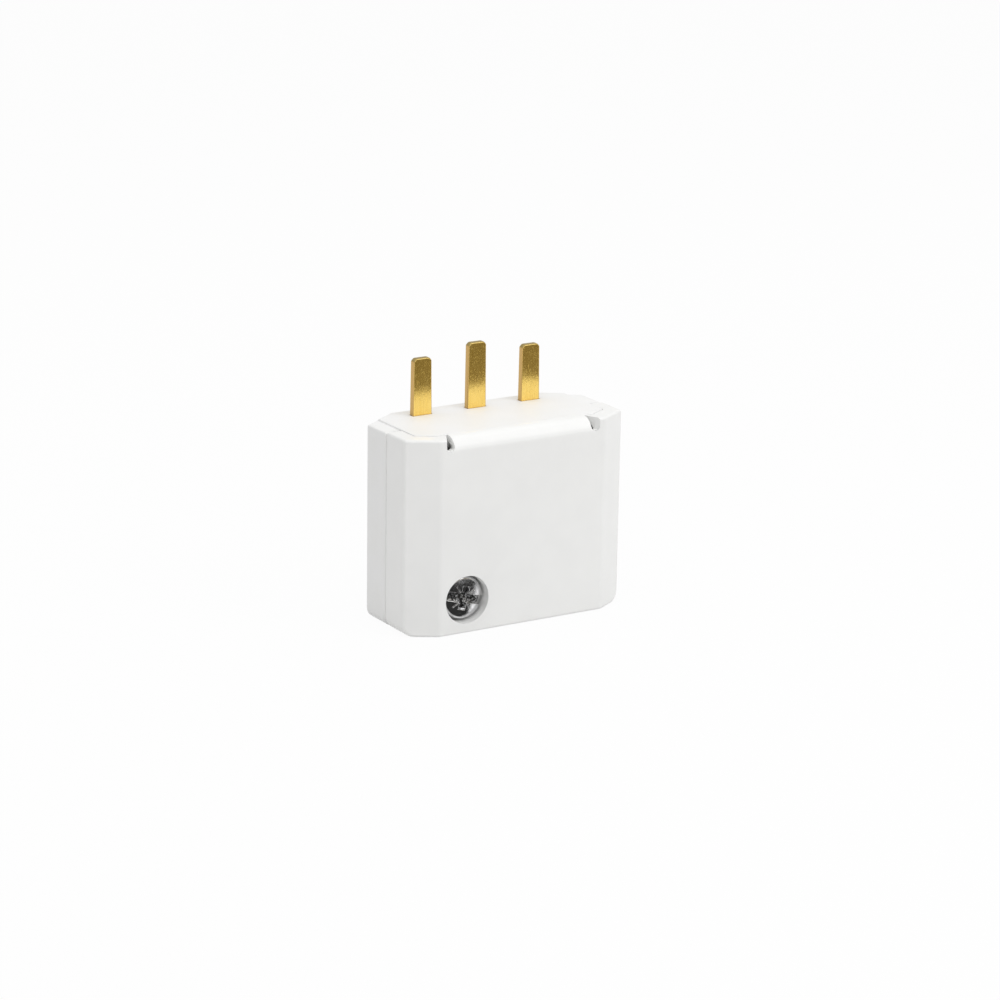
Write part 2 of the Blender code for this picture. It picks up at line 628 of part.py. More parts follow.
def make_front_cover():
    cover = shell_block("front_cover", -1, BODY_HEIGHT, COVER_EDGE_ROUND)
    cut(cover, cavity("front_hollow", -1, WALL, OVERCUT, WALL, BODY_HEIGHT - WALL))
    cut(cover, lap_recess())

    # The tongue stands as high as the deck, and the web behind it ends in a hook under the deck
    pad_half = TONGUE_HALF + DECK_EDGE_ROUND
    pad = box(
        "tongue_pad",
        (-pad_half, -HALF_DEPTH + COVER_EDGE_ROUND / 3, BODY_HEIGHT - WALL - OVERLAP),
        (pad_half, DECK_FRONT_Y + OVERLAP, DECK_TOP_Z),
    )
    hook_top = DECK_UNDER_Z - CLEARANCE
    web = box(
        "hook_web",
        (-HOOK_WIDTH / 2, INNER_FRONT_Y - OVERLAP, hook_top - HOOK_THICKNESS),
        (HOOK_WIDTH / 2, DECK_FRONT_Y + HOOK_REACH, BODY_HEIGHT - WALL + OVERLAP),
    )
    join(cover, pad, web)

    # The top is open for the deck, down to the hook
    outline = deck_front(SEAM_GAP)
    outline += [
        (DECK_HALF_WIDTH + SEAM_GAP, HALF_DEPTH + OVERCUT),
        (-DECK_HALF_WIDTH - SEAM_GAP, HALF_DEPTH + OVERCUT),
    ]
    opening = outline_solid("deck_opening", outline, "XY", hook_top, DECK_TOP_Z + OVERCUT)
    cut(cover, opening, tongue_round())
    for hand in (-1, 1):
        cut(cover, tongue_hollow(hand), notch(hand))

    # Boss of the cover screw, with its bore and floor
    boss = rod_y(
        "cover_boss", COVER_SCREW_X, COVER_SCREW_Z, COVER_BOSS_RADIUS,
        INNER_FRONT_Y - OVERLAP, COVER_FLOOR_Y + COVER_FLOOR,
    )
    join(cover, boss)
    cut(
        cover,
        rod_y("cover_bore", COVER_SCREW_X, COVER_SCREW_Z, COVER_BORE_RADIUS,
              -HALF_DEPTH - OVERCUT, COVER_FLOOR_Y),
        rod_y("cover_screw_hole", COVER_SCREW_X, COVER_SCREW_Z, COVER_SHANK_RADIUS + CLEARANCE,
              COVER_FLOOR_Y - OVERCUT, COVER_FLOOR_Y + COVER_FLOOR + OVERCUT, SMALL_STEPS),
    )

    # Webs that keep the terminals in their pockets, above their screws' heads
    web_low = TERMINAL_SCREW_Z + TERMINAL_HEAD_RADIUS + CLEARANCE
    for pole, x, _ in POLES:
        stop = box(
            f"{pole}_stop_web",
            (x - STOP_WEB_WIDTH / 2, INNER_FRONT_Y - OVERLAP, web_low),
            (x + STOP_WEB_WIDTH / 2, TERMINAL_FRONT_Y - CLEARANCE, hook_top - OVERLAP),
        )
        join(cover, stop)

    cut(cover, rod_z("front_cord_entry", 0.0, SEAM_Y, CORD_ENTRY_RADIUS, -OVERCUT, WALL + OVERCUT))
    return as_part(cover, COVER_WHITE)


def lap_recess():
    """The thinned rim of the cover, which the rear shell's lip reaches into."""
    outline = half_plan(LAP_DEPTH, -1, SEAM_Y + OVERCUT)
    recess = outline_solid("lap_recess", outline, "XY", LAP_DEPTH, BODY_HEIGHT - LAP_DEPTH)
    front = box(
        "lap_recess_front",
        (-HALF_WIDTH - OVERCUT, -HALF_DEPTH - OVERCUT, -OVERCUT),
        (HALF_WIDTH + OVERCUT, SEAM_Y - LAP_LENGTH - CLEARANCE, BODY_HEIGHT + OVERCUT),
    )
    return cut(recess, front)


def make_blade(pole, x, lead):
    """A flat blade with a bevelled tip: its tang stands in the terminal below the deck."""
    top = DECK_TOP_Z + BLADE_REACH + lead
    foot = TERMINAL_TOP_Z - TANG_DEPTH + SLIDING_GAP
    half = BLADE_WIDTH / 2
    tip = BLADE_TIP_WIDTH / 2
    outline = [
        (-half, foot),
        (half, foot),
        (half, DECK_TOP_Z),
        (tip, top - TIP_CHAMFER),
        (tip - TIP_CHAMFER, top),
        (-tip + TIP_CHAMFER, top),
        (-tip, top - TIP_CHAMFER),
        (-half, DECK_TOP_Z),
    ]
    half_thickness = BLADE_THICKNESS / 2
    blade = outline_solid(f"{pole}_blade", outline, "XZ", -half_thickness, half_thickness)
    blade.location = (x, BLADE_Y, 0.0)
    round_edges(blade, BLADE_BEVEL)
    return as_part(blade, BLADE_BRASS)


def make_terminal(pole, x):
    """A brass block with a slot for the blade's tang, a wire chamber and a threaded hole."""
    half = TERMINAL_WIDTH / 2
    block = box(
        f"{pole}_terminal",
        (x - half, TERMINAL_FRONT_Y, TERMINAL_BOTTOM_Z),
        (x + half, TERMINAL_BACK_Y, TERMINAL_TOP_Z),
    )
    round_edges(block, TERMINAL_BEVEL)
    cut(
        block,
        box(f"{pole}_chamber",
            (x - CHAMBER_WIDTH / 2, CHAMBER_FRONT_Y, TERMINAL_BOTTOM_Z - OVERCUT),
            (x + CHAMBER_WIDTH / 2, CHAMBER_BACK_Y, TERMINAL_BOTTOM_Z + CHAMBER_HEIGHT)),
        box(f"{pole}_tang_slot",
            (x - BLADE_WIDTH / 2 - BLADE_GAP, BLADE_Y - BLADE_THICKNESS / 2 - BLADE_GAP,
             TERMINAL_TOP_Z - TANG_DEPTH),
            (x + BLADE_WIDTH / 2 + BLADE_GAP, BLADE_Y + BLADE_THICKNESS / 2 + BLADE_GAP,
             TERMINAL_TOP_Z + OVERCUT)),
        rod_y(f"{pole}_screw_hole", x, TERMINAL_SCREW_Z, TERMINAL_SHANK_RADIUS + SLIDING_GAP,
              TERMINAL_FRONT_Y - OVERCUT, CHAMBER_FRONT_Y + CHAMBER_DEPTH / 2, SMALL_STEPS),
    )
    return as_part(block, TERMINAL_BRASS)


def make_wire_plate(pole, x):
    """The plate that a terminal's screw presses on the wire."""
    half_width = CHAMBER_WIDTH / 2 - SLIDING_GAP
    half_height = PLATE_HEIGHT / 2
    plate = box(
        f"{pole}_wire_plate",
        (-half_width, 0.0, -half_height),
        (half_width, PLATE_THICKNESS, half_height),
    )
    plate.location = (x, PLATE_FRONT_Y, TERMINAL_SCREW_Z)
    round_edges(plate, SLIDING_GAP)
    return as_part(plate, PLATE_STEEL)


def slot_tool(name, place, width, span, depth, tilt=0.0):
    """A straight recess for a driver, cut into a head that faces -Y at the place given."""
    tool = box(name, (-span / 2, -OVERCUT, -width / 2), (span / 2, depth, width / 2))
    tool.location = place
    tool.rotation_euler = (0.0, tilt, 0.0)
    return tool


def make_terminal_screw(pole, x):
    length = PLATE_FRONT_Y - SLIDING_GAP - (TERMINAL_FRONT_Y - CLEARANCE)
    profile = [
        (0.0, TERMINAL_HEAD_HEIGHT),
        (TERMINAL_HEAD_RADIUS - SLIDING_GAP, TERMINAL_HEAD_HEIGHT),
        (TERMINAL_HEAD_RADIUS, TERMINAL_HEAD_HEIGHT - SLIDING_GAP),
        (TERMINAL_HEAD_RADIUS, 0.0),
        (TERMINAL_SHANK_RADIUS, 0.0),
        (TERMINAL_SHANK_RADIUS, CLEARANCE - length),
        (TERMINAL_SHANK_RADIUS - CLEARANCE, -length),
        (0.0, -length),
    ]
    place = (x, TERMINAL_FRONT_Y - CLEARANCE, TERMINAL_SCREW_Z)
    screw = turned(f"{pole}_terminal_screw", profile, place, SMALL_STEPS)
    head = (x, place[1] - TERMINAL_HEAD_HEIGHT, TERMINAL_SCREW_Z)
    span = 2 * (TERMINAL_HEAD_RADIUS + OVERCUT)
    slot = slot_tool(f"{pole}_slot", head, TERMINAL_SLOT_WIDTH, span, TERMINAL_SLOT_DEPTH)
    return as_part(cut(screw, slot), SCREW_STEEL)


def make_cover_screw():
    """The cover's screw: a cheese head with a rounded rim and a combined slot and cross recess."""
    crown = COVER_HEAD_HEIGHT
    profile = [(0.0, crown)]
    rim = arc(
        (COVER_HEAD_RADIUS - COVER_HEAD_ROUND, crown - COVER_HEAD_ROUND),
        COVER_HEAD_ROUND, 90, 0, ARC_STEPS // 2,
    )
    profile += rim
    profile += [
        (COVER_HEAD_RADIUS, 0.0),
        (COVER_SHANK_RADIUS, 0.0),
        (COVER_SHANK_RADIUS, CLEARANCE - COVER_SHANK_LENGTH),
        (COVER_SHANK_RADIUS - CLEARANCE, -COVER_SHANK_LENGTH),
        (0.0, -COVER_SHANK_LENGTH),
    ]
    place = (COVER_SCREW_X, COVER_UNDERHEAD_Y, COVER_SCREW_Z)
    screw = turned("cover_screw", profile, place, ROUND_STEPS)
    face = (COVER_SCREW_X, COVER_HEAD_Y, COVER_SCREW_Z)
    across = 2 * (COVER_HEAD_RADIUS + OVERCUT)
    upright = COVER_SLOT_TILT + math.pi / 2
    cut(
        screw,
        slot_tool("driver_slot", face, COVER_SLOT_WIDTH, across, COVER_SLOT_DEPTH, COVER_SLOT_TILT),
        slot_tool("driver_cross", face, COVER_SLOT_WIDTH, COVER_CROSS_SPAN, COVER_CROSS_DEPTH, upright),
    )
    return as_part(screw, SCREW_STEEL)


def make_screw_washer():
    washer = rod_y(
        "cover_screw_washer", 0.0, 0.0, WASHER_RADIUS, 0.0, WASHER_THICKNESS, SMALL_STEPS
    )
    washer.location = (COVER_SCREW_X, WASHER_Y, COVER_SCREW_Z)
    hole = rod_y(
        "washer_hole", COVER_SCREW_X, COVER_SCREW_Z, COVER_SHANK_RADIUS + SLIDING_GAP,
        WASHER_Y - OVERCUT, WASHER_Y + WASHER_THICKNESS + OVERCUT, SMALL_STEPS,
    )
    return as_part(cut(washer, hole), WASHER_FIBRE)


def make_threaded_insert():
    """A knurled brass bush, held in the rear shell's boss."""
    outline = []
    for index in range(2 * INSERT_KNURLS):
        radius = INSERT_RADIUS - (index % 2) * INSERT_KNURL_DEPTH
        angle = math.pi * index / INSERT_KNURLS
        outline.append((radius * math.cos(angle), radius * math.sin(angle)))
    insert = outline_solid("threaded_insert", outline, "XZ", 0.0, INSERT_LENGTH)
    insert.location = (COVER_SCREW_X, INSERT_BOSS_Y, COVER_SCREW_Z)
    bore = rod_y(
        "insert_thread", COVER_SCREW_X, COVER_SCREW_Z, COVER_SHANK_RADIUS + SLIDING_GAP,
        INSERT_BOSS_Y - OVERCUT, INSERT_BOSS_Y + INSERT_LENGTH + OVERCUT, SMALL_STEPS,
    )
    return as_part(cut(insert, bore), INSERT_BRASS)


def make_cord_clamp():
    """The bar that presses the cord against the rear shell's ridged seat."""
    bar = box(
        "cord_clamp",
        (-CLAMP_LENGTH / 2, CLAMP_FRONT_Y, CLAMP_Z - CLAMP_HEIGHT / 2),
        (CLAMP_LENGTH / 2, CLAMP_BACK_Y, CLAMP_Z + CLAMP_HEIGHT / 2),
    )
    round_edges(bar, CLAMP_BEVEL)
    grip = ridge_outline(CLAMP_BACK_Y + GRIP_FOOT, CLAMP_BACK_Y - CLAMP_THICKNESS / 2, 1)
    join(bar, outline_solid("clamp_ridges", grip, "YZ", -GRIP_WIDTH / 2, GRIP_WIDTH / 2))
    for hand in (-1, 1):
        hole = rod_y(
            "clamp_hole", hand * CLAMP_SCREW_X, CLAMP_Z, CLAMP_SHANK_RADIUS + CLEARANCE,
            CLAMP_FRONT_Y - OVERCUT, CLAMP_BACK_Y + OVERCUT, SMALL_STEPS,
        )
        cut(bar, hole)
    return as_part(bar, CLAMP_WHITE)


def make_clamp_screw(side, hand):
    profile = [(0.0, CLAMP_HEAD_HEIGHT)]
    profile += arc(
        (CLAMP_HEAD_RADIUS - CLAMP_BEVEL, CLAMP_HEAD_HEIGHT - CLAMP_BEVEL), CLAMP_BEVEL, 90, 0, 2
    )
    profile += [
        (CLAMP_HEAD_RADIUS, 0.0),
        (CLAMP_SHANK_RADIUS, 0.0),
        (CLAMP_SHANK_RADIUS, CLAMP_SHANK_RADIUS - CLAMP_SHANK_LENGTH),
        (0.0, -CLAMP_SHANK_LENGTH),
    ]
    x = hand * CLAMP_SCREW_X
    place = (x, CLAMP_UNDERHEAD_Y, CLAMP_Z)
    screw = turned(f"clamp_screw_{side}", profile, place, SMALL_STEPS)
    face = (x, place[1] - CLAMP_HEAD_HEIGHT, CLAMP_Z)
    depth = CLAMP_HEAD_HEIGHT / 2
    cut(
        screw,
        slot_tool(f"{side}_cross_flat", face, CLAMP_CROSS_WIDTH, CLAMP_CROSS_SPAN, depth),
        slot_tool(f"{side}_cross_upright", face, CLAMP_CROSS_WIDTH, CLAMP_CROSS_SPAN, depth, math.pi / 2),
    )
    return as_part(screw, SCREW_STEEL)


def main():
    make_rear_housing()
    make_front_cover()
    for pole, x, lead in POLES:
        make_blade(pole, x, lead)
        make_terminal(pole, x)
        make_wire_plate(pole, x)
        make_terminal_screw(pole, x)
    make_cover_screw()
    make_screw_washer()
    make_threaded_insert()
    make_cord_clamp()
    make_clamp_screw("left", -1)
    make_clamp_screw("right", 1)
    for part in PARTS.objects:
        shade(part)


main()
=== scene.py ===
"""Finishes of a ceiling lamp plug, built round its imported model.

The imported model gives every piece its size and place. Each piece is shown by a twin of its own mesh
with welded corners and smooth rounds, in a procedural finish, and the screws get real threads. Metres,
+Z up along the blades, X along the row of blades, the front cover faces -Y.
"""

import logging
import math
from dataclasses import dataclass, field
from enum import Enum

import bmesh
import bpy
from mathutils import Matrix, Vector


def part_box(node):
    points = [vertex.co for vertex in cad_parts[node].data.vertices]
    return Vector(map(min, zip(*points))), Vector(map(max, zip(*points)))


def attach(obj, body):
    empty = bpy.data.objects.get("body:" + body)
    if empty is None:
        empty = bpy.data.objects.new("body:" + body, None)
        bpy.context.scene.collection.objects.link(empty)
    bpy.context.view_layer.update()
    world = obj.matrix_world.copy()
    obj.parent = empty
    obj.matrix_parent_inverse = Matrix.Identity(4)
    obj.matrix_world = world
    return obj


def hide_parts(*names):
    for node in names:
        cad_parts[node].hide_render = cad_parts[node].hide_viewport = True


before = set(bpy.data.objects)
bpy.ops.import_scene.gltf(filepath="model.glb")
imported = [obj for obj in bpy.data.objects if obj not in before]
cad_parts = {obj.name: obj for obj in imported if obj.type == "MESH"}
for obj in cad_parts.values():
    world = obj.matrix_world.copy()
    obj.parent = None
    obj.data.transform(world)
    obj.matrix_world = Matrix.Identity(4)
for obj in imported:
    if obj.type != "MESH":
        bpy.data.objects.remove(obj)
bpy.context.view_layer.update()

LOG = logging.getLogger("ceiling_lamp_plug")
MM = 0.001

Colour = tuple[float, float, float]
Scale = tuple[float, float, float]
Band = tuple[float, float]
Socket = bpy.types.NodeSocket


def placed(name: str, data: bpy.types.ID) -> bpy.types.Object:
    """Put a new object in the scene.

    Args:
        name: Its name.
        data: Its mesh, light or camera.

    Returns:
        The object.
    """
    made = bpy.data.objects.new(name, data)
    bpy.context.scene.collection.objects.link(made)
    return made


class Pole(Enum):
    """The three poles, in their order along the row."""

    LINE = "line"
    EARTH = "earth"
    NEUTRAL = "neutral"


class SurfaceEffect(Enum):
    """Shader node groups that several finishes share."""

    GRAIN = "moulded_grain"
    STREAKS = "drawn_streaks"
    RINGS = "turned_rings"
    EDGES = "rubbed_edges"


class Graph:
    """Adds nodes to one node tree, in columns from left to right.

    Attributes:
        column_width: Room for a column of nodes in the editor.
        row_height: Room for one node of a column.
        rows: Nodes in a column.
        mix_inputs: Which sockets of a Mix node are the share and its two colours.
        mix_output: Which one is the mixed colour.
    """

    column_width = 190.0
    row_height = 170.0
    rows = 4
    mix_inputs = (0, 6, 7)
    mix_output = 2

    def __init__(self, tree: bpy.types.NodeTree) -> None:
        """Start on a tree.

        Args:
            tree: The material's or group's node tree.
        """
        self.tree = tree
        self.count = 0

    @classmethod
    def fresh(cls, owner: bpy.types.Material | bpy.types.World) -> "Graph":
        """Start on an emptied material or world.

        Args:
            owner: The material or world.

        Returns:
            The graph of its node tree.
        """
        owner.use_nodes = True
        owner.node_tree.nodes.clear()
        return cls(owner.node_tree)

    def node(self, kind: str, **settings: object) -> bpy.types.Node:
        """Add a node.

        Args:
            kind: The node's type name.
            settings: Properties to set on it.

        Returns:
            The new node.
        """
        made = self.tree.nodes.new(kind)
        column, row = divmod(self.count, self.rows)
        made.location = (column * self.column_width, -row * self.row_height)
        self.count += 1
        for name, value in settings.items():
            setattr(made, name, value)
        return made

    def feed(self, value: object, target: Socket) -> None:
        """Link a socket to an input, or set the input to a number or colour.

        Args:
            value: A socket, a number or a sequence of numbers.
            target: The input socket.
        """
        if isinstance(value, bpy.types.NodeSocket):
            self.tree.links.new(value, target)
        else:
            target.default_value = value

    def maths(self, operation: str, *values: object, clamp: bool = False) -> Socket:
        """Add a Math node.

        Args:
            operation: Its operation.
            values: Its inputs, sockets or numbers.
            clamp: Whether the result stays between 0 and 1.

        Returns:
            The result.
        """
        made = self.node("ShaderNodeMath", operation=operation, use_clamp=clamp)
        for value, target in zip(values, made.inputs):
            self.feed(value, target)
        return made.outputs[0]

    def ramp(self, value: Socket, low: float, high: float) -> Socket:
        """Stretch a value so that low becomes 0 and high becomes 1, clamped and smoothed.

        Args:
            value: The value.
            low: What becomes 0.
            high: What becomes 1.

        Returns:
            The stretched value.
        """
        made = self.node("ShaderNodeMapRange", interpolation_type="SMOOTHSTEP")
        self.feed(value, made.inputs["Value"])
        made.inputs["From Min"].default_value = low
        made.inputs["From Max"].default_value = high
        return made.outputs["Result"]

    def span(self, value: Socket, low: float, high: float) -> Socket:
        """Spread a value from 0 to 1 over a range.

        Args:
            value: The value.
            low: The result at 0.
            high: The result at 1.

        Returns:
            The result.
        """
        made = self.node("ShaderNodeMapRange")
        self.feed(value, made.inputs["Value"])
        made.inputs["To Min"].default_value = low
        made.inputs["To Max"].default_value = high
        return made.outputs["Result"]

    def mix(self, share: object, first: object, second: object) -> Socket:
        """Mix two colours.

        Args:
            share: How much of the second colour, from 0 to 1.
            first: A colour or a socket.
            second: A colour or a socket.

        Returns:
            The mixed colour.
        """
        made = self.node("ShaderNodeMix", data_type="RGBA")
        for value, index in zip((share, self.opaque(first), self.opaque(second)), self.mix_inputs):
            self.feed(value, made.inputs[index])
        return made.outputs[self.mix_output]

    @staticmethod
    def opaque(colour: object) -> object:
        """Give a colour of three numbers its fourth, and pass a socket on."""
        return (*colour, 1.0) if isinstance(colour, tuple) and len(colour) == 3 else colour

    def millimetres(self, centre: Vector = Vector()) -> Socket:
        """The place on the object, in millimetres from a centre.

        Args:
            centre: The centre in metres.

        Returns:
            The place.
        """
        place = self.node("ShaderNodeTexCoord").outputs["Object"]
        scaled = self.node("ShaderNodeMapping", vector_type="POINT")
        scaled.inputs["Scale"].default_value = (1 / MM, 1 / MM, 1 / MM)
        scaled.inputs["Location"].default_value = tuple(-c / MM for c in centre)
        self.feed(place, scaled.inputs["Vector"])
        return scaled.outputs["Vector"]

    def stretched(self, place: Socket, scale: Scale) -> Socket:
        """Scale a place unevenly.

        Args:
            place: The place.
            scale: The factor along each axis.

        Returns:
            The scaled place.
        """
        made = self.node("ShaderNodeVectorMath", operation="MULTIPLY")
        self.feed(place, made.inputs[0])
        made.inputs[1].default_value = scale
        return made.outputs[0]

    def noise(
        self, place: Socket, scale: object, detail: float = 2.0, roughness: float = 0.5
    ) -> Socket:
        """Add a noise texture.

        Args:
            place: Where it is read.
            scale: Features for each unit of place, a number or a socket.
            detail: Octaves.
            roughness: Strength of the finer octaves.

        Returns:
            The noise, about 0.5 on average.
        """
        made = self.node("ShaderNodeTexNoise")
        self.feed(place, made.inputs["Vector"])
        self.feed(scale, made.inputs["Scale"])
        made.inputs["Detail"].default_value = detail
        made.inputs["Roughness"].default_value = roughness
        return made.outputs["Fac"]

    def bump(self, height: Socket, depth: float, under: Socket | None = None) -> Socket:
        """Turn a height from 0 to 1 into a bumped normal.

        Args:
            height: The height.
            depth: The real depth of the relief, in metres.
            under: A normal to start from.

        Returns:
            The normal.
        """
        made = self.node("ShaderNodeBump")
        made.inputs["Strength"].default_value = 1.0
        made.inputs["Distance"].default_value = depth
        self.feed(height, made.inputs["Height"])
        if under is not None:
            self.feed(under, made.inputs["Normal"])
        return made.outputs["Normal"]


class EffectLibrary:
    """Builds each shared shader node group once.

    Attributes:
        line_stretch: Scale of the drawn lines' noise, which runs them along Z.
        speck_stretch: Scale of the specks' noise.
        speck_share: The specks' part of the strip's relief. The lines give the rest.
        speck_band: Noise at which a speck starts and is whole.
        rolled_band: How far along Y a face looks where it starts to be, and is, a rolled one.
        upward_band: How far up a face looks where it starts to be, and is, one that gets the painted
            shade of what looks upward.
        edge_band: How far the normal turns where an edge starts to be, and is, rubbed.
        edge_samples: Rays that look for an edge.
    """

    line_stretch: Scale = (1.0, 1.0, 0.035)
    speck_stretch: Scale = (1.0, 1.0, 0.6)
    speck_share = 0.6
    speck_band: Band = (0.52, 0.66)
    rolled_band: Band = (0.80, 0.97)
    upward_band: Band = (0.2, 0.5)
    edge_band: Band = (0.004, 0.12)
    edge_samples = 4

    def __init__(self) -> None:
        """Build the groups."""
        self.groups: dict[SurfaceEffect, bpy.types.NodeTree] = {
            SurfaceEffect.GRAIN: self._grain(),
            SurfaceEffect.STREAKS: self._streaks(),
            SurfaceEffect.RINGS: self._rings(),
            SurfaceEffect.EDGES: self._edges(),
        }

    @staticmethod
    def _start(
        effect: SurfaceEffect, inputs: dict[str, float], outputs: tuple[str, ...]
    ) -> tuple[Graph, bpy.types.Node, bpy.types.Node]:
        """Make an empty group with its sockets.

        Args:
            effect: Which effect the group makes.
            inputs: Names and usual values of its inputs.
            outputs: Names of its outputs.

        Returns:
            The graph, the group's input node and its output node.
        """
        tree = bpy.data.node_groups.new(effect.value, "ShaderNodeTree")
        for name, value in inputs.items():
            socket = tree.interface.new_socket(name, in_out="INPUT", socket_type="NodeSocketFloat")
            socket.default_value = value
        for name in outputs:
            tree.interface.new_socket(name, in_out="OUTPUT", socket_type="NodeSocketFloat")
        graph = Graph(tree)
        return graph, graph.node("NodeGroupInput"), graph.node("NodeGroupOutput")

    def _grain(self) -> bpy.types.NodeTree:
        """Fine grain over slow waves.

        Returns:
            The group, with Height for bump and Tone for colour and gloss.
        """
        graph, given, result = self._start(
            SurfaceEffect.GRAIN, {"Fine": 9.0, "Broad": 0.18}, ("Height", "Tone")
        )
        place = graph.millimetres()
        fine = graph.noise(place, given.outputs["Fine"], detail=3.0, roughness=0.6)
        broad = graph.noise(place, given.outputs["Broad"])
        graph.feed(fine, result.inputs["Height"])
        graph.feed(broad, result.inputs["Tone"])
        return graph.tree

    def _streaks(self) -> bpy.types.NodeTree:
        """What rolled strip carries.

        Returns:
            The group, with Height for bump, Tone of the lines along Z, Speck, and masks of the Sheared
            edges and of what looks Upward.
        """
        graph, given, result = self._start(
            SurfaceEffect.STREAKS, {"Lines": 6.0, "Speckle": 7.0},
            ("Height", "Tone", "Speck", "Sheared", "Upward"),
        )
        place = graph.millimetres()
        along = graph.stretched(place, self.line_stretch)
        lines = graph.noise(along, given.outputs["Lines"], detail=3.0, roughness=0.6)
        spread = graph.stretched(place, self.speck_stretch)
        speck = graph.noise(spread, given.outputs["Speckle"], roughness=0.65)
        line_part = graph.maths("MULTIPLY", lines, 1.0 - self.speck_share)
        both = graph.maths("MULTIPLY_ADD", speck, self.speck_share, line_part)
        graph.feed(both, result.inputs["Height"])
        graph.feed(lines, result.inputs["Tone"])
        graph.feed(graph.ramp(speck, *self.speck_band), result.inputs["Speck"])
        facing = graph.node("ShaderNodeSeparateXYZ")
        graph.feed(graph.node("ShaderNodeNewGeometry").outputs["Normal"], facing.inputs[0])
        rolled = graph.ramp(graph.maths("ABSOLUTE", facing.outputs["Y"]), *self.rolled_band)
        graph.feed(graph.maths("SUBTRACT", 1.0, rolled), result.inputs["Sheared"])
        graph.feed(graph.ramp(facing.outputs["Z"], *self.upward_band), result.inputs["Upward"])
        return graph.tree

    def _rings(self) -> bpy.types.NodeTree:
        """Rings that a lathe leaves round an axis along Y.

        Returns:
            The group, with Height for bump and Radius, the distance from the axis in millimetres.
        """
        graph, given, result = self._start(
            SurfaceEffect.RINGS, {"CentreX": 0.0, "CentreZ": 0.0, "Pitch": 0.12}, ("Height", "Radius")
        )
        parts = graph.node("ShaderNodeSeparateXYZ")
        graph.feed(graph.millimetres(), parts.inputs[0])
        across = graph.maths("SUBTRACT", parts.outputs["X"], given.outputs["CentreX"])
        upward = graph.maths("SUBTRACT", parts.outputs["Z"], given.outputs["CentreZ"])
        square = graph.maths("MULTIPLY_ADD", across, across, graph.maths("MULTIPLY", upward, upward))
        radius = graph.maths("SQRT", square)
        turns = graph.maths("DIVIDE", radius, given.outputs["Pitch"])
        wave = graph.maths("SINE", graph.maths("MULTIPLY", turns, 2 * math.pi))
        graph.feed(graph.maths("MULTIPLY_ADD", wave, 0.5, 0.5), result.inputs["Height"])
        graph.feed(radius, result.inputs["Radius"])
        return graph.tree

    def _edges(self) -> bpy.types.NodeTree:
        """Where handling rubs edges.

        Returns:
            The group, with a Mask that is 1 on an edge and 0 on a flat.
        """
        graph, given, result = self._start(
            SurfaceEffect.EDGES, {"Radius": 0.2, "Amount": 1.0}, ("Mask",)
        )
        rounded = graph.node("ShaderNodeBevel", samples=self.edge_samples)
        graph.feed(graph.maths("MULTIPLY", given.outputs["Radius"], MM), rounded.inputs["Radius"])
        flat = graph.node("ShaderNodeNewGeometry").outputs["Normal"]
        alike = graph.node("ShaderNodeVectorMath", operation="DOT_PRODUCT")
        graph.feed(rounded.outputs["Normal"], alike.inputs[0])
        graph.feed(flat, alike.inputs[1])
        apart = graph.maths("SUBTRACT", 1.0, alike.outputs["Value"])
        turned = graph.ramp(apart, *self.edge_band)
        graph.feed(graph.maths("MULTIPLY", turned, given.outputs["Amount"]), result.inputs["Mask"])
        return graph.tree

    def place(self, graph: Graph, effect: SurfaceEffect, **values: float) -> bpy.types.Node:
        """Put an effect's group in a material.

        Args:
            graph: The material's graph.
            effect: Which effect.
            values: Its own values of the group's inputs.

        Returns:
            The group's node.
        """
        made = graph.node("ShaderNodeGroup", node_tree=self.groups[effect])
        for name, value in values.items():
            made.inputs[name].default_value = value
        return made


EFFECTS = EffectLibrary()


@dataclass(frozen=True)
class Finish:
    """What all finishes share.

    Attributes:
        name: The material's name.
        colour: The main colour.
        roughness: The middle of its roughness.
        swing: How far the roughness swings from there, at a value of 0 and of 1.
        dim: How bright the darker patches are beside the main colour.
        patch: The tone at which a patch starts and is whole.
    """

    name: str
    colour: Colour
    roughness: float
    swing: Band = (-0.06, 0.10)
    dim: float = 0.86
    patch: Band = (0.35, 0.65)

    def start(self) -> tuple[bpy.types.Material, Graph, bpy.types.Node]:
        """Make an empty material with its shader.

        Returns:
            The material, its graph and the Principled shader.
        """
        material = bpy.data.materials.new(self.name)
        material.diffuse_color = (*self.colour, 1.0)
        graph = Graph.fresh(material)
        shader = graph.node("ShaderNodeBsdfPrincipled")
        output = graph.node("ShaderNodeOutputMaterial")
        graph.feed(shader.outputs[0], output.inputs["Surface"])
        return material, graph, shader

    def rough(self, graph: Graph, value: Socket) -> Socket:
        """Let a value swing the roughness.

        Args:
            graph: The material's graph.
            value: A value from 0 to 1.

        Returns:
            The roughness.
        """
        return graph.span(value, self.roughness + self.swing[0], self.roughness + self.swing[1])

    def dark(self) -> Colour:
        """The colour of its darker patches."""
        return tuple(self.dim * part for part in self.colour)

    def patches(self, graph: Graph, tone: Socket) -> Socket:
        """Spread darker patches in the main colour.

        Args:
            graph: The material's graph.
            tone: The tone, low where a patch is dark.

        Returns:
            The colour.
        """
        return graph.mix(graph.ramp(tone, *self.patch), self.dark(), self.colour)


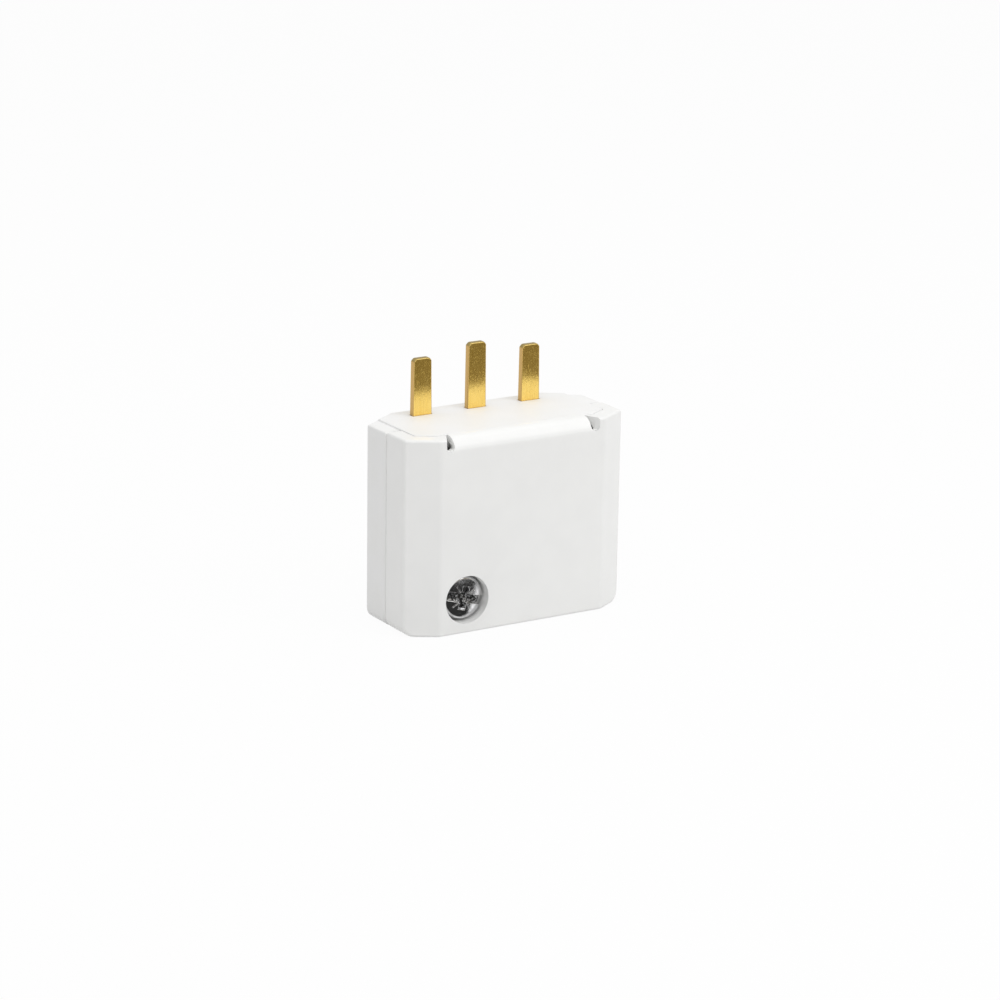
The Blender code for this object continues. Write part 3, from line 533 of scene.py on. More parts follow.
@dataclass(frozen=True)
class MouldedPlastic(Finish):
    """White injection-moulded plastic with a fine satin grain.

    Attributes:
        shade: The colour of its darker patches.
        grain_depth: Relief of the mould's grain.
        sink_depth: Relief of the slow waves.
        edge_gloss: How much smoother its rubbed edges are.
        ior: Index of refraction.
    """

    swing: Band = (-0.06, 0.08)
    patch: Band = (0.3, 0.7)
    shade: Colour = (0.85, 0.85, 0.838)
    grain_depth: float = 0.003 * MM
    sink_depth: float = 0.006 * MM
    edge_gloss: float = 0.08
    ior: float = 1.5

    def build(self) -> bpy.types.Material:
        """Build the finish.

        Returns:
            The material.
        """
        material, graph, shader = self.start()
        grain = EFFECTS.place(graph, SurfaceEffect.GRAIN, Fine=7.0, Broad=0.22)
        edges = EFFECTS.place(graph, SurfaceEffect.EDGES, Radius=0.25, Amount=0.5)
        tone = graph.ramp(grain.outputs["Tone"], *self.patch)
        graph.feed(graph.mix(tone, self.colour, self.shade), shader.inputs["Base Color"])
        rough = self.rough(graph, grain.outputs["Height"])
        rubbed = graph.maths("MULTIPLY_ADD", edges.outputs["Mask"], -self.edge_gloss, rough)
        graph.feed(rubbed, shader.inputs["Roughness"])
        waves = graph.bump(grain.outputs["Tone"], self.sink_depth)
        grained = graph.bump(grain.outputs["Height"], self.grain_depth, waves)
        graph.feed(grained, shader.inputs["Normal"])
        shader.inputs["IOR"].default_value = self.ior
        return material


@dataclass(frozen=True)
class RolledBrass(Finish):
    """Brass strip: drawn lines, a speckled skin, edges rubbed brighter, and painted shade where it
    looks upward.

    Attributes:
        worn: The colour of rubbed edges.
        dull: The colour between the drawn lines.
        cut: The colour of the sheared edges.
        tip: Painted shade, a darker colour painted on what looks upward, the bevelled tip most of all.
        cut_roughness: The roughness of the sheared edges.
        relief: Depth of lines and specks.
        lines: Drawn lines for each millimetre.
    """

    swing: Band = (0.0, 0.12)
    worn: Colour = (0.96, 0.74, 0.30)
    dull: Colour = (0.87, 0.60, 0.15)
    cut: Colour = (0.62, 0.41, 0.15)
    tip: Colour = (0.40, 0.30, 0.11)
    cut_roughness: float = 0.42
    relief: float = 0.013 * MM
    lines: float = 8.0

    def build(self) -> bpy.types.Material:
        """Build the finish.

        Returns:
            The material.
        """
        material, graph, shader = self.start()
        skin = EFFECTS.place(graph, SurfaceEffect.STREAKS, Lines=self.lines, Speckle=6.0)
        edges = EFFECTS.place(graph, SurfaceEffect.EDGES, Radius=0.18, Amount=0.8)
        body = graph.mix(graph.ramp(skin.outputs["Tone"], *self.patch), self.dull, self.colour)
        rubbed = graph.mix(edges.outputs["Mask"], body, self.worn)
        sheared = skin.outputs["Sheared"]
        edged = graph.mix(sheared, rubbed, self.cut)
        # painted shade: faces that look upward get the darker tip colour
        graph.feed(graph.mix(skin.outputs["Upward"], edged, self.tip), shader.inputs["Base Color"])
        rough = self.rough(graph, skin.outputs["Speck"])
        step = graph.maths("MULTIPLY", sheared, self.cut_roughness - self.roughness)
        graph.feed(graph.maths("ADD", rough, step), shader.inputs["Roughness"])
        graph.feed(graph.bump(skin.outputs["Height"], self.relief), shader.inputs["Normal"])
        shader.inputs["Metallic"].default_value = 1.0
        return material


@dataclass(frozen=True)
class MachinedMetal(Finish):
    """Cut or plated metal with a fine even grain and rubbed edges.

    Attributes:
        worn: The colour of rubbed edges.
        relief: Depth of the grain.
    """

    worn: Colour = (0.80, 0.80, 0.80)
    relief: float = 0.004 * MM

    def build(self) -> bpy.types.Material:
        """Build the finish.

        Returns:
            The material.
        """
        material, graph, shader = self.start()
        grain = EFFECTS.place(graph, SurfaceEffect.GRAIN, Fine=11.0, Broad=1.1)
        edges = EFFECTS.place(graph, SurfaceEffect.EDGES, Radius=0.15, Amount=0.8)
        body = self.patches(graph, grain.outputs["Tone"])
        graph.feed(graph.mix(edges.outputs["Mask"], body, self.worn), shader.inputs["Base Color"])
        graph.feed(self.rough(graph, grain.outputs["Tone"]), shader.inputs["Roughness"])
        graph.feed(graph.bump(grain.outputs["Height"], self.relief), shader.inputs["Normal"])
        shader.inputs["Metallic"].default_value = 1.0
        return material


@dataclass(frozen=True)
class PlatedScrew(Finish):
    """Zinc-plated steel that was turned round the screw's own axis.

    Attributes:
        centre: A point on the screw's axis.
        face: Where the head's face is along Y.
        under: Where the head's underside is along Y.
        head_radius: The head's radius.
        worn: The colour of rubbed edges.
        recess_painted_shade: The colour deep in the torn plating.
        recess_shade_band: Torn height at which the stain starts and is whole.
        ring_pitch: From ring to ring, in millimetres.
        ring_depth: Relief of the turned rings.
        speckle_depth: Relief of the plating's grain.
        burr_radius: How wide the recess's edges are pushed over.
        burr_samples: Rays that look for those edges.
        torn_scale: Tears for each millimetre.
        torn_depth: Relief of the torn plating.
        torn_below: Under the face, where tearing starts and is whole, in millimetres.
        torn_above: The same over the underside.
        torn_within: The same inside the head's rim.
    """

    swing: Band = (-0.05, 0.10)
    dim: float = 0.8
    patch: Band = (0.35, 0.68)
    centre: Vector = Vector()
    face: float = 0.0
    under: float = 0.0
    head_radius: float = 0.0
    worn: Colour = (0.95, 0.95, 0.94)
    # recess_painted_shade: Painted shade, a near-black colour painted in patches deep in the recess,
    # where the plating is torn.
    recess_painted_shade: Colour = (0.07, 0.07, 0.068)
    # recess_shade_band: Torn height at which the painted shade starts and is whole.
    recess_shade_band: Band = (0.47, 0.53)
    ring_pitch: float = 0.16
    ring_depth: float = 0.0012 * MM
    speckle_depth: float = 0.005 * MM
    burr_radius: float = 0.12 * MM
    burr_samples: int = 6
    torn_scale: float = 3.2
    torn_depth: float = 0.06 * MM
    torn_below: Band = (0.28, 0.45)
    torn_above: Band = (0.0, 0.2)
    torn_within: Band = (0.05, 0.25)

    def torn(self, graph: Graph, radius: Socket) -> Socket:
        """The torn plating that a driver leaves in the recess, which also places the painted shade
        there.

        Args:
            graph: The material's graph.
            radius: The distance from the screw's axis, in millimetres.

        Returns:
            Its height from 0 to 1, with the rest of the screw at 0.
        """
        place = graph.millimetres()
        parts = graph.node("ShaderNodeSeparateXYZ")
        graph.feed(place, parts.inputs[0])
        face, under, rim = self.face / MM, self.under / MM, self.head_radius / MM
        below = graph.ramp(parts.outputs["Y"], *(face + gap for gap in self.torn_below))
        above = graph.ramp(parts.outputs["Y"], *(under - gap for gap in self.torn_above))
        within = graph.ramp(radius, *(rim - gap for gap in self.torn_within))
        inside = graph.maths("MULTIPLY", graph.maths("MULTIPLY", below, above), within)
        tears = graph.noise(place, self.torn_scale, detail=3.0, roughness=0.6)
        return graph.maths("MULTIPLY", tears, inside)

    def build(self) -> bpy.types.Material:
        """Build the finish.

        Returns:
            The material.
        """
        material, graph, shader = self.start()
        rings = EFFECTS.place(
            graph, SurfaceEffect.RINGS,
            CentreX=self.centre.x / MM, CentreZ=self.centre.z / MM, Pitch=self.ring_pitch,
        )
        grain = EFFECTS.place(graph, SurfaceEffect.GRAIN, Fine=9.0, Broad=0.9)
        edges = EFFECTS.place(graph, SurfaceEffect.EDGES, Radius=0.2, Amount=0.9)
        body = self.patches(graph, grain.outputs["Tone"])
        rubbed = graph.mix(edges.outputs["Mask"], body, self.worn)
        torn = self.torn(graph, rings.outputs["Radius"])
        # painted shade: near-black patches painted deep in the recess
        shade_painted = graph.mix(graph.ramp(torn, *self.recess_shade_band), rubbed, self.recess_painted_shade)
        graph.feed(shade_painted, shader.inputs["Base Color"])
        graph.feed(self.rough(graph, grain.outputs["Height"]), shader.inputs["Roughness"])
        burr = graph.node("ShaderNodeBevel", samples=self.burr_samples)
        burr.inputs["Radius"].default_value = self.burr_radius
        ragged = graph.bump(torn, self.torn_depth, burr.outputs["Normal"])
        turned = graph.bump(rings.outputs["Height"], self.ring_depth, ragged)
        speckled = graph.bump(grain.outputs["Height"], self.speckle_depth, turned)
        graph.feed(speckled, shader.inputs["Normal"])
        shader.inputs["Metallic"].default_value = 1.0
        return material


@dataclass(frozen=True)
class VulcanisedFibre(Finish):
    """Red-brown fibre sheet with a faint felt in it.

    Attributes:
        relief: Depth of the felt.
    """

    swing: Band = (-0.1, 0.1)
    dim: float = 0.7
    relief: float = 0.01 * MM

    def build(self) -> bpy.types.Material:
        """Build the finish.

        Returns:
            The material.
        """
        material, graph, shader = self.start()
        grain = EFFECTS.place(graph, SurfaceEffect.GRAIN, Fine=5.0, Broad=1.6)
        felt = graph.mix(grain.outputs["Tone"], self.dark(), self.colour)
        graph.feed(felt, shader.inputs["Base Color"])
        graph.feed(self.rough(graph, grain.outputs["Height"]), shader.inputs["Roughness"])
        graph.feed(graph.bump(grain.outputs["Height"], self.relief), shader.inputs["Normal"])
        return material


class Twin:
    """A smooth-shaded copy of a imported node's mesh, which stands for that node.

    Attributes:
        weld: Corners closer than this are one.
        flat_angle: Faces that turn less than this are one flat.
    """

    weld = 1.0e-6
    flat_angle = math.radians(0.6)

    def __init__(self, node: str, crease: float = 32.0) -> None:
        """Copy a node.

        Args:
            node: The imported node's name.
            crease: Edges sharper than this many degrees stay sharp.
        """
        self.node = node
        self.crease = math.radians(crease)
        self.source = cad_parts[node]

    def welded(self) -> bpy.types.Mesh:
        """Copy the mesh with its corners welded and its flats in one face each.

        Returns:
            The new mesh.
        """
        shape = bmesh.new()
        shape.from_mesh(self.source.data)
        bmesh.ops.remove_doubles(shape, verts=shape.verts, dist=self.weld)
        bmesh.ops.dissolve_limit(
            shape, angle_limit=self.flat_angle, verts=shape.verts, edges=shape.edges
        )
        made = bpy.data.meshes.new(f"{self.node}_finished")
        shape.to_mesh(made)
        shape.free()
        return made

    def mesh(self) -> bpy.types.Mesh:
        """The mesh that is shown, which a kind of twin may change."""
        return self.welded()

    def build(self, material: bpy.types.Material, body: str) -> bpy.types.Object:
        """Make the object that stands for the node.

        Args:
            material: Its finish.
            body: The body that it rides on.

        Returns:
            The object.
        """
        made = placed(f"{self.node}_finished", self.mesh())
        self.dress(made, material, body)
        return made

    def dress(self, made: bpy.types.Object, material: bpy.types.Material, body: str) -> None:
        """Shade, paint and seat an object that stands for the node.

        Args:
            made: The object.
            material: Its finish.
            body: The body that it rides on.
        """
        made.data.materials.clear()
        made.data.materials.append(material)
        made.data.shade_smooth()
        made.data.set_sharp_from_angle(angle=self.crease)
        weighted = made.modifiers.new("even_normals", "WEIGHTED_NORMAL")
        weighted.keep_sharp = True
        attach(made, body)
        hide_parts(self.node)
        LOG.info("%s: %d faces on body %s", made.name, len(made.data.polygons), body)


class RearShell(Twin):
    """The rear housing's twin. Its seam with the cover stands open at the shoulder and is tight below.

    Attributes:
        seam_y: Where the shell's edge is along Y.
        near: How close to that place a corner is on the edge.
        tight: How far the edge is drawn to the cover.
        tight_below: The height up to which it is drawn.
    """

    seam_y = -0.45 * MM
    near = 0.02 * MM
    tight = 0.075 * MM
    tight_below = 21.5 * MM

    def mesh(self) -> bpy.types.Mesh:
        """Copy the mesh and draw the seam's edge shut below the shoulder.

        Returns:
            The new mesh.
        """
        made = super().mesh()
        shape = bmesh.new()
        shape.from_mesh(made)
        everything = [*shape.verts, *shape.edges, *shape.faces]
        bmesh.ops.bisect_plane(
            shape, geom=everything, plane_co=(0.0, 0.0, self.tight_below), plane_no=(0.0, 0.0, 1.0)
        )
        for vert in shape.verts:
            if abs(vert.co.y - self.seam_y) < self.near and vert.co.z < self.tight_below + self.near:
                vert.co.y -= self.tight
        shape.to_mesh(made)
        shape.free()
        return made


@dataclass(frozen=True)
class ScrewSize:
    """Sizes of one kind of screw.

    Attributes:
        head_height: From the head's face to its underside.
        pitch: The thread's pitch, which is what its joint moves in one turn.
    """

    head_height: float
    pitch: float


class ThreadedScrew(Twin):
    """A screw's twin: its head, and a real right-hand thread in place of the plain shank.

    Attributes:
        steps: Sides of one turn.
        rows: The ridge's section over one pitch: share of the pitch, and height from root to crest.
        depth_share: The ridge's height as a share of the pitch.
        sink: How far the thread starts inside the head.
        stub: How far below the head its own mesh is cut off.
        spare_turns: Turns more than the shank's length takes, which are cut off at its ends.
    """

    steps = 28
    rows = ((0.0, 0.0), (0.14, 0.0), (0.44, 1.0), (0.58, 1.0))
    depth_share = 0.5
    sink = 0.05 * MM
    stub = 0.02 * MM
    spare_turns = 2

    def __init__(self, node: str, size: ScrewSize) -> None:
        """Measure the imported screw.

        Args:
            node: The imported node's name.
            size: Its head's height and its pitch.
        """
        super().__init__(node)
        self.size = size
        low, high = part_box(node)
        self.axis = Vector(((low.x + high.x) / 2, 0.0, (low.z + high.z) / 2))
        self.head_radius = (high.x - low.x) / 2
        self.face = low.y
        self.under = low.y + size.head_height
        self.tip = high.y
        self.crest, self.end, self.shoulder = self.shank()

    def off_axis(self, point: Vector) -> float:
        """How far a point lies from the screw's axis."""
        return math.hypot(point.x - self.axis.x, point.z - self.axis.z)

    def around_axis(self, radius: float, y: float, turn: float) -> Vector:
        """A point round the screw's axis.

        Args:
            radius: Its distance from the axis.
            y: Its place along the axis.
            turn: Its turn about the axis, 1 for a whole one.

        Returns:
            The point.
        """
        angle = 2 * math.pi * turn
        across, upward = radius * math.sin(angle), radius * math.cos(angle)
        return Vector((self.axis.x + across, y, self.axis.z + upward))

    def shank(self) -> tuple[float, float, float]:
        """Read the plain shank.

        Returns:
            Its radius, its radius at the tip, and where the tip's chamfer starts.
        """
        points = [vert.co for vert in self.source.data.vertices if vert.co.y > self.under + self.stub]
        reach = [(self.off_axis(point), point.y) for point in points]
        crest = max(radius for radius, _ in reach)
        end = max(radius for radius, y in reach if y > self.tip - self.stub)
        shoulder = max(y for radius, y in reach if radius > crest - self.stub)
        return crest, end, shoulder

    def head(self) -> bpy.types.Mesh:
        """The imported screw's own head, closed just below it.

        Returns:
            The new mesh.
        """
        made = self.welded()
        shape = bmesh.new()
        shape.from_mesh(made)
        everything = [*shape.verts, *shape.edges, *shape.faces]
        bmesh.ops.bisect_plane(
            shape, geom=everything, plane_co=(0.0, self.under + self.stub, 0.0),
            plane_no=(0.0, 1.0, 0.0), clear_outer=True,
        )
        bmesh.ops.holes_fill(shape, edges=[edge for edge in shape.edges if edge.is_boundary], sides=0)
        shape.to_mesh(made)
        shape.free()
        return made

    def ridge(self, y: float, height: float) -> float:
        """The thread's radius at one place.

        Args:
            y: The place along the axis.
            height: The ridge's height there, from 0 at the root to 1 at the crest.

        Returns:
            The radius, inside the plain shank everywhere.
        """
        depth = self.depth_share * self.size.pitch
        runout = min(max((y - self.under) / self.size.pitch, 0.0), 1.0)
        radius = self.crest - depth * (1.0 - height * runout)
        if y > self.shoulder:
            share = (y - self.shoulder) / max(self.tip - self.shoulder, self.weld)
            radius = min(radius, self.crest + (self.end - self.crest) * share)
        return radius

    def thread(self) -> bmesh.types.BMesh:
        """Sweep the thread's profile along its helix.

        Returns:
            A closed skin from inside the head to the tip.
        """
        shape = bmesh.new()
        start = self.under - self.sink
        per_turn = len(self.rows)
        total = (math.ceil((self.tip - start) / self.size.pitch) + self.spare_turns) * per_turn
        foot = self.ridge(self.tip, 0.0)
        columns: list[list[bmesh.types.BMVert]] = []
        for step in range(self.steps):
            turn = step / self.steps
            column = []
            for row in range(total + 1):
                share, height = self.rows[row % per_turn]
                y = start + (row // per_turn - 1 + share + turn) * self.size.pitch
                radius = foot if y >= self.tip else self.ridge(max(y, start), height)
                y = min(max(y, start), self.tip)
                column.append(shape.verts.new(self.around_axis(radius, y, turn)))
            columns.append(column)
        for step, column in enumerate(columns):
            last = step == self.steps - 1
            beside = columns[0][per_turn:] if last else columns[step + 1]
            for row in range(total - per_turn):
                shape.faces.new((column[row], beside[row], beside[row + 1], column[row + 1]))
        bmesh.ops.remove_doubles(shape, verts=shape.verts, dist=self.weld)
        bmesh.ops.dissolve_degenerate(shape, dist=self.weld, edges=shape.edges)
        loose = [vert for vert in shape.verts if not vert.link_faces]
        bmesh.ops.delete(shape, geom=loose, context="VERTS")
        bmesh.ops.holes_fill(shape, edges=[edge for edge in shape.edges if edge.is_boundary], sides=0)
        bmesh.ops.recalc_face_normals(shape, faces=shape.faces)
        return shape

    def mesh(self) -> bpy.types.Mesh:
        """Join the head and the thread.

        Returns:
            The new mesh.
        """
        made = self.head()
        shape = self.thread()
        shape.from_mesh(made)
        shape.to_mesh(made)
        shape.free()
        return made


@dataclass(frozen=True)
class Recess:
    """A slot with a cross over it, as one driver recess.

    Attributes:
        tilt: The slot's turn about the screw's axis.
        slot: Width and depth of the slot, which runs over the whole head.
        wing: Span, width and depth of the cross's upright arm at the head's face.
        wing_foot: Span and width of that arm at its bottom.
        core: Width of the square core at the face and at its bottom, and its depth.
        tick: Span, width and depth of the fine marks between the arms.
    """

    tilt: float = math.radians(14.0)
    slot: tuple[float, float] = (1.3 * MM, 1.0 * MM)
    wing: tuple[float, float, float] = (3.6 * MM, 1.15 * MM, 1.5 * MM)
    wing_foot: tuple[float, float] = (1.7 * MM, 0.7 * MM)
    core: tuple[float, float, float] = (1.9 * MM, 1.0 * MM, 1.4 * MM)
    tick: tuple[float, float, float] = (4.2 * MM, 0.17 * MM, 0.22 * MM)


class CombinationScrew(ThreadedScrew):
    """The cover's screw: a slightly domed head with a rounded rim and a combined recess.

    Attributes:
        around: Sides of the head.
        dome: How far the face falls from its middle to the rim.
        rim: Radius of the rim's round.
        rings: Steps of the dome, and of the round.
        over: How far the cutters stand out of the head.
        recess: The recess's sizes.
    """

    around = 72
    dome = 0.22 * MM
    rim = 0.42 * MM
    rings = 6
    over = 0.3 * MM
    recess = Recess()

    def profile(self) -> list[tuple[float, float]]:
        """Half the head's section, from the middle of its face to the middle of its underside.

        Returns:
            Radius and depth under the face of each corner.
        """
        inner = self.head_radius - self.rim
        shares = [ring / self.rings for ring in range(self.rings + 1)]
        crown = [(inner * share, self.dome * share * share) for share in shares]
        turns = [math.pi / 2 * share for share in shares[1:]]
        edge = [
            (inner + self.rim * math.sin(turn), self.dome + self.rim * (1 - math.cos(turn)))
            for turn in turns
        ]
        foot = self.size.head_height
        return [*crown, *edge, (self.head_radius, foot), (0.0, foot)]

    def blank(self) -> bpy.types.Object:
        """Turn the head before its recess is cut.

        Returns:
            The blank.
        """
        shape = bmesh.new()
        rings: list[list[bmesh.types.BMVert]] = []
        for radius, depth in self.profile():
            count = 1 if radius < self.weld else self.around
            places = [
                self.around_axis(radius, self.face + depth, step / self.around) for step in range(count)
            ]
            rings.append([shape.verts.new(place) for place in places])
        for first, second in zip(rings, rings[1:]):
            for step in range(self.around):
                after = (step + 1) % self.around
                corners = (
                    first[step % len(first)], first[after % len(first)],
                    second[after % len(second)], second[step % len(second)],
                )
                shape.faces.new(dict.fromkeys(corners))
        bmesh.ops.recalc_face_normals(shape, faces=shape.faces)
        return self.as_object("head_blank", shape)

    def cutter(
        self, top: tuple[float, float], foot: tuple[float, float], depth: float, turn: float
    ) -> bpy.types.Object:
        """A tapered block that stands in the head's face.

        Args:
            top: Length and width at the face.
            foot: Length and width at the bottom.
            depth: How deep it goes.
            turn: Its turn about the screw's axis.

        Returns:
            The block.
        """
        shape = bmesh.new()
        middle = Vector((self.axis.x, self.face, self.axis.z))
        along = Vector((math.cos(turn), 0.0, -math.sin(turn)))
        across = Vector((math.sin(turn), 0.0, math.cos(turn)))
        corners = ((-1, -1), (1, -1), (1, 1), (-1, 1))
        loops = []
        for level, (length, width) in ((-self.over, top), (0.0, top), (depth, foot)):
            centre = middle + Vector((0.0, level, 0.0))
            loops.append([
                shape.verts.new(centre + along * (a * length / 2) + across * (b * width / 2))
                for a, b in corners
            ])
        shape.faces.new(loops[0])
        shape.faces.new(loops[-1])
        for first, second in zip(loops, loops[1:]):
            for index in range(len(corners)):
                after = (index + 1) % len(corners)
                shape.faces.new((first[index], first[after], second[after], second[index]))
        bmesh.ops.recalc_face_normals(shape, faces=shape.faces)
        return self.as_object("recess_cutter", shape)

    @staticmethod
    def as_object(name: str, shape: bmesh.types.BMesh) -> bpy.types.Object:
        """Turn a shape into an object of its own.

        Args:
            name: The object's name.
            shape: The shape, which is used up.

        Returns:
            The object.
        """
        mesh = bpy.data.meshes.new(name)
        shape.to_mesh(mesh)
        shape.free()
        return placed(name, mesh)

    def cutters(self) -> list[bpy.types.Object]:
        """Make every block that the recess is cut with.

        Returns:
            The blocks of the slot, the cross's upright arm, the core and the two fine marks.
        """
        cut = self.recess
        upright = cut.tilt + math.pi / 2
        slanted = cut.tilt + math.pi / 4
        whole = 2 * (self.head_radius + self.over)
        gap, drop = cut.slot
        span, width, depth = cut.wing
        wide, narrow, deep = cut.core
        reach, fine, shallow = cut.tick
        blocks = [
            self.cutter((whole, gap), (whole, gap), drop, cut.tilt),
            self.cutter((span, width), cut.wing_foot, depth, upright),
            self.cutter((wide, wide), (narrow, narrow), deep, slanted),
        ]
        for turn in (slanted, slanted + math.pi / 2):
            blocks.append(self.cutter((reach, fine), (reach, fine), shallow + self.dome / 2, turn))
        return blocks

    def head(self) -> bpy.types.Mesh:
        """Cut the recess into the domed head.

        Returns:
            The new mesh.
        """
        blank = self.blank()
        blocks = self.cutters()
        for block in blocks:
            cut = blank.modifiers.new("recess", "BOOLEAN")
            cut.operation = "DIFFERENCE"
            cut.solver = "EXACT"
            cut.object = block
        graph = bpy.context.evaluated_depsgraph_get()
        made = bpy.data.meshes.new_from_object(blank.evaluated_get(graph))
        made.name = f"{self.node}_finished"
        for used in (blank, *blocks):
            mesh = used.data
            bpy.data.objects.remove(used)
            bpy.data.meshes.remove(mesh)
        return made


@dataclass
class Housing:
    """The two moulded shells.

    Attributes:
        rear: The rear shell's finish.
        cover: The cover's finish.
        crease: Edges sharper than this many degrees stay sharp.
    """

    rear: MouldedPlastic = field(
        default=MouldedPlastic("rear_housing_white", (0.86, 0.86, 0.856), 0.50)
    )
    cover: MouldedPlastic = field(
        default=MouldedPlastic("front_cover_white", (0.865, 0.865, 0.853), 0.40)
    )
    crease: float = 40.0

    def build(self) -> None:
        """Build and dress both shells."""
        RearShell("rear_housing", self.crease).build(self.rear.build(), "root")
        Twin("front_cover", self.crease).build(self.cover.build(), "root")


@dataclass
class Contacts:
    """Blades, terminals and wire plates of the three poles."""

    blade: RolledBrass = field(default=RolledBrass("blade_brass_rolled", (0.95, 0.68, 0.20), 0.16))
    block: MachinedMetal = field(
        default=MachinedMetal("terminal_brass_cut", (0.82, 0.62, 0.28), 0.30, worn=(0.92, 0.74, 0.40))
    )
    plate: MachinedMetal = field(default=MachinedMetal("wire_plate_zinc", (0.66, 0.67, 0.68), 0.34))

    def build(self) -> None:
        """Build and dress the contacts of every pole."""
        blade = self.blade.build()
        block = self.block.build()
        plate = self.plate.build()
        for pole in Pole:
            name = pole.value
            Twin(f"{name}_blade").build(blade, "root")
            Twin(f"{name}_terminal").build(block, "root")
            Twin(f"{name}_wire_plate").build(plate, f"{name}_wire_plate")


@dataclass
class Screws:
    """All screws, each in a finish that is turned round its own axis."""

    colour: Colour = (0.84, 0.84, 0.85)
    roughness: float = 0.09
    cover: ScrewSize = field(default=ScrewSize(head_height=2.0 * MM, pitch=0.6 * MM))
    terminal: ScrewSize = field(default=ScrewSize(head_height=1.6 * MM, pitch=0.5 * MM))
    clamp: ScrewSize = field(default=ScrewSize(head_height=1.5 * MM, pitch=1.1 * MM))

    def all(self) -> list[ThreadedScrew]:
        """List every screw.

        Returns:
            The screws, each with a node and a body of the same name.
        """
        terminals = [ThreadedScrew(f"{pole.value}_terminal_screw", self.terminal) for pole in Pole]
        clamps = [ThreadedScrew(f"clamp_screw_{side}", self.clamp) for side in ("left", "right")]
        return [CombinationScrew("cover_screw", self.cover), *terminals, *clamps]

    def build(self) -> None:
        """Build and dress every screw."""
        for screw in self.all():
            finish = PlatedScrew(
                f"{screw.node}_zinc", self.colour, self.roughness,
                centre=screw.axis, face=screw.face, under=screw.under, head_radius=screw.head_radius,
            )
            screw.build(finish.build(), screw.node)


@dataclass
class Fittings:
    """The insert and washer of the cover screw, and the cord clamp."""

    insert: MachinedMetal = field(
        default=MachinedMetal("insert_brass_cut", (0.82, 0.63, 0.30), 0.30, worn=(0.92, 0.74, 0.40))
    )
    washer: VulcanisedFibre = field(
        default=VulcanisedFibre("washer_fibre_red", (0.42, 0.16, 0.11), 0.7)
    )
    clamp: MouldedPlastic = field(
        default=MouldedPlastic("cord_clamp_white", (0.82, 0.82, 0.80), 0.42)
    )

    def build(self) -> None:
        """Build and dress the fittings."""
        Twin("threaded_insert").build(self.insert.build(), "root")
        Twin("cover_screw_washer").build(self.washer.build(), "cover_screw_washer")
        Twin("cord_clamp").build(self.clamp.build(), "cord_clamp")


@dataclass(frozen=True)
class Card:
    """A level dark card that glows for mirrors only: a painted reflection.

    Attributes:
        name: Its name.
        corners: Its corners in X and Y.
        height: Its height over the floor.
        colour: The colour of the painted reflection, which only mirrors see.
    """

    name: str
    corners: tuple[tuple[float, float], ...]
    height: float
    colour: Colour


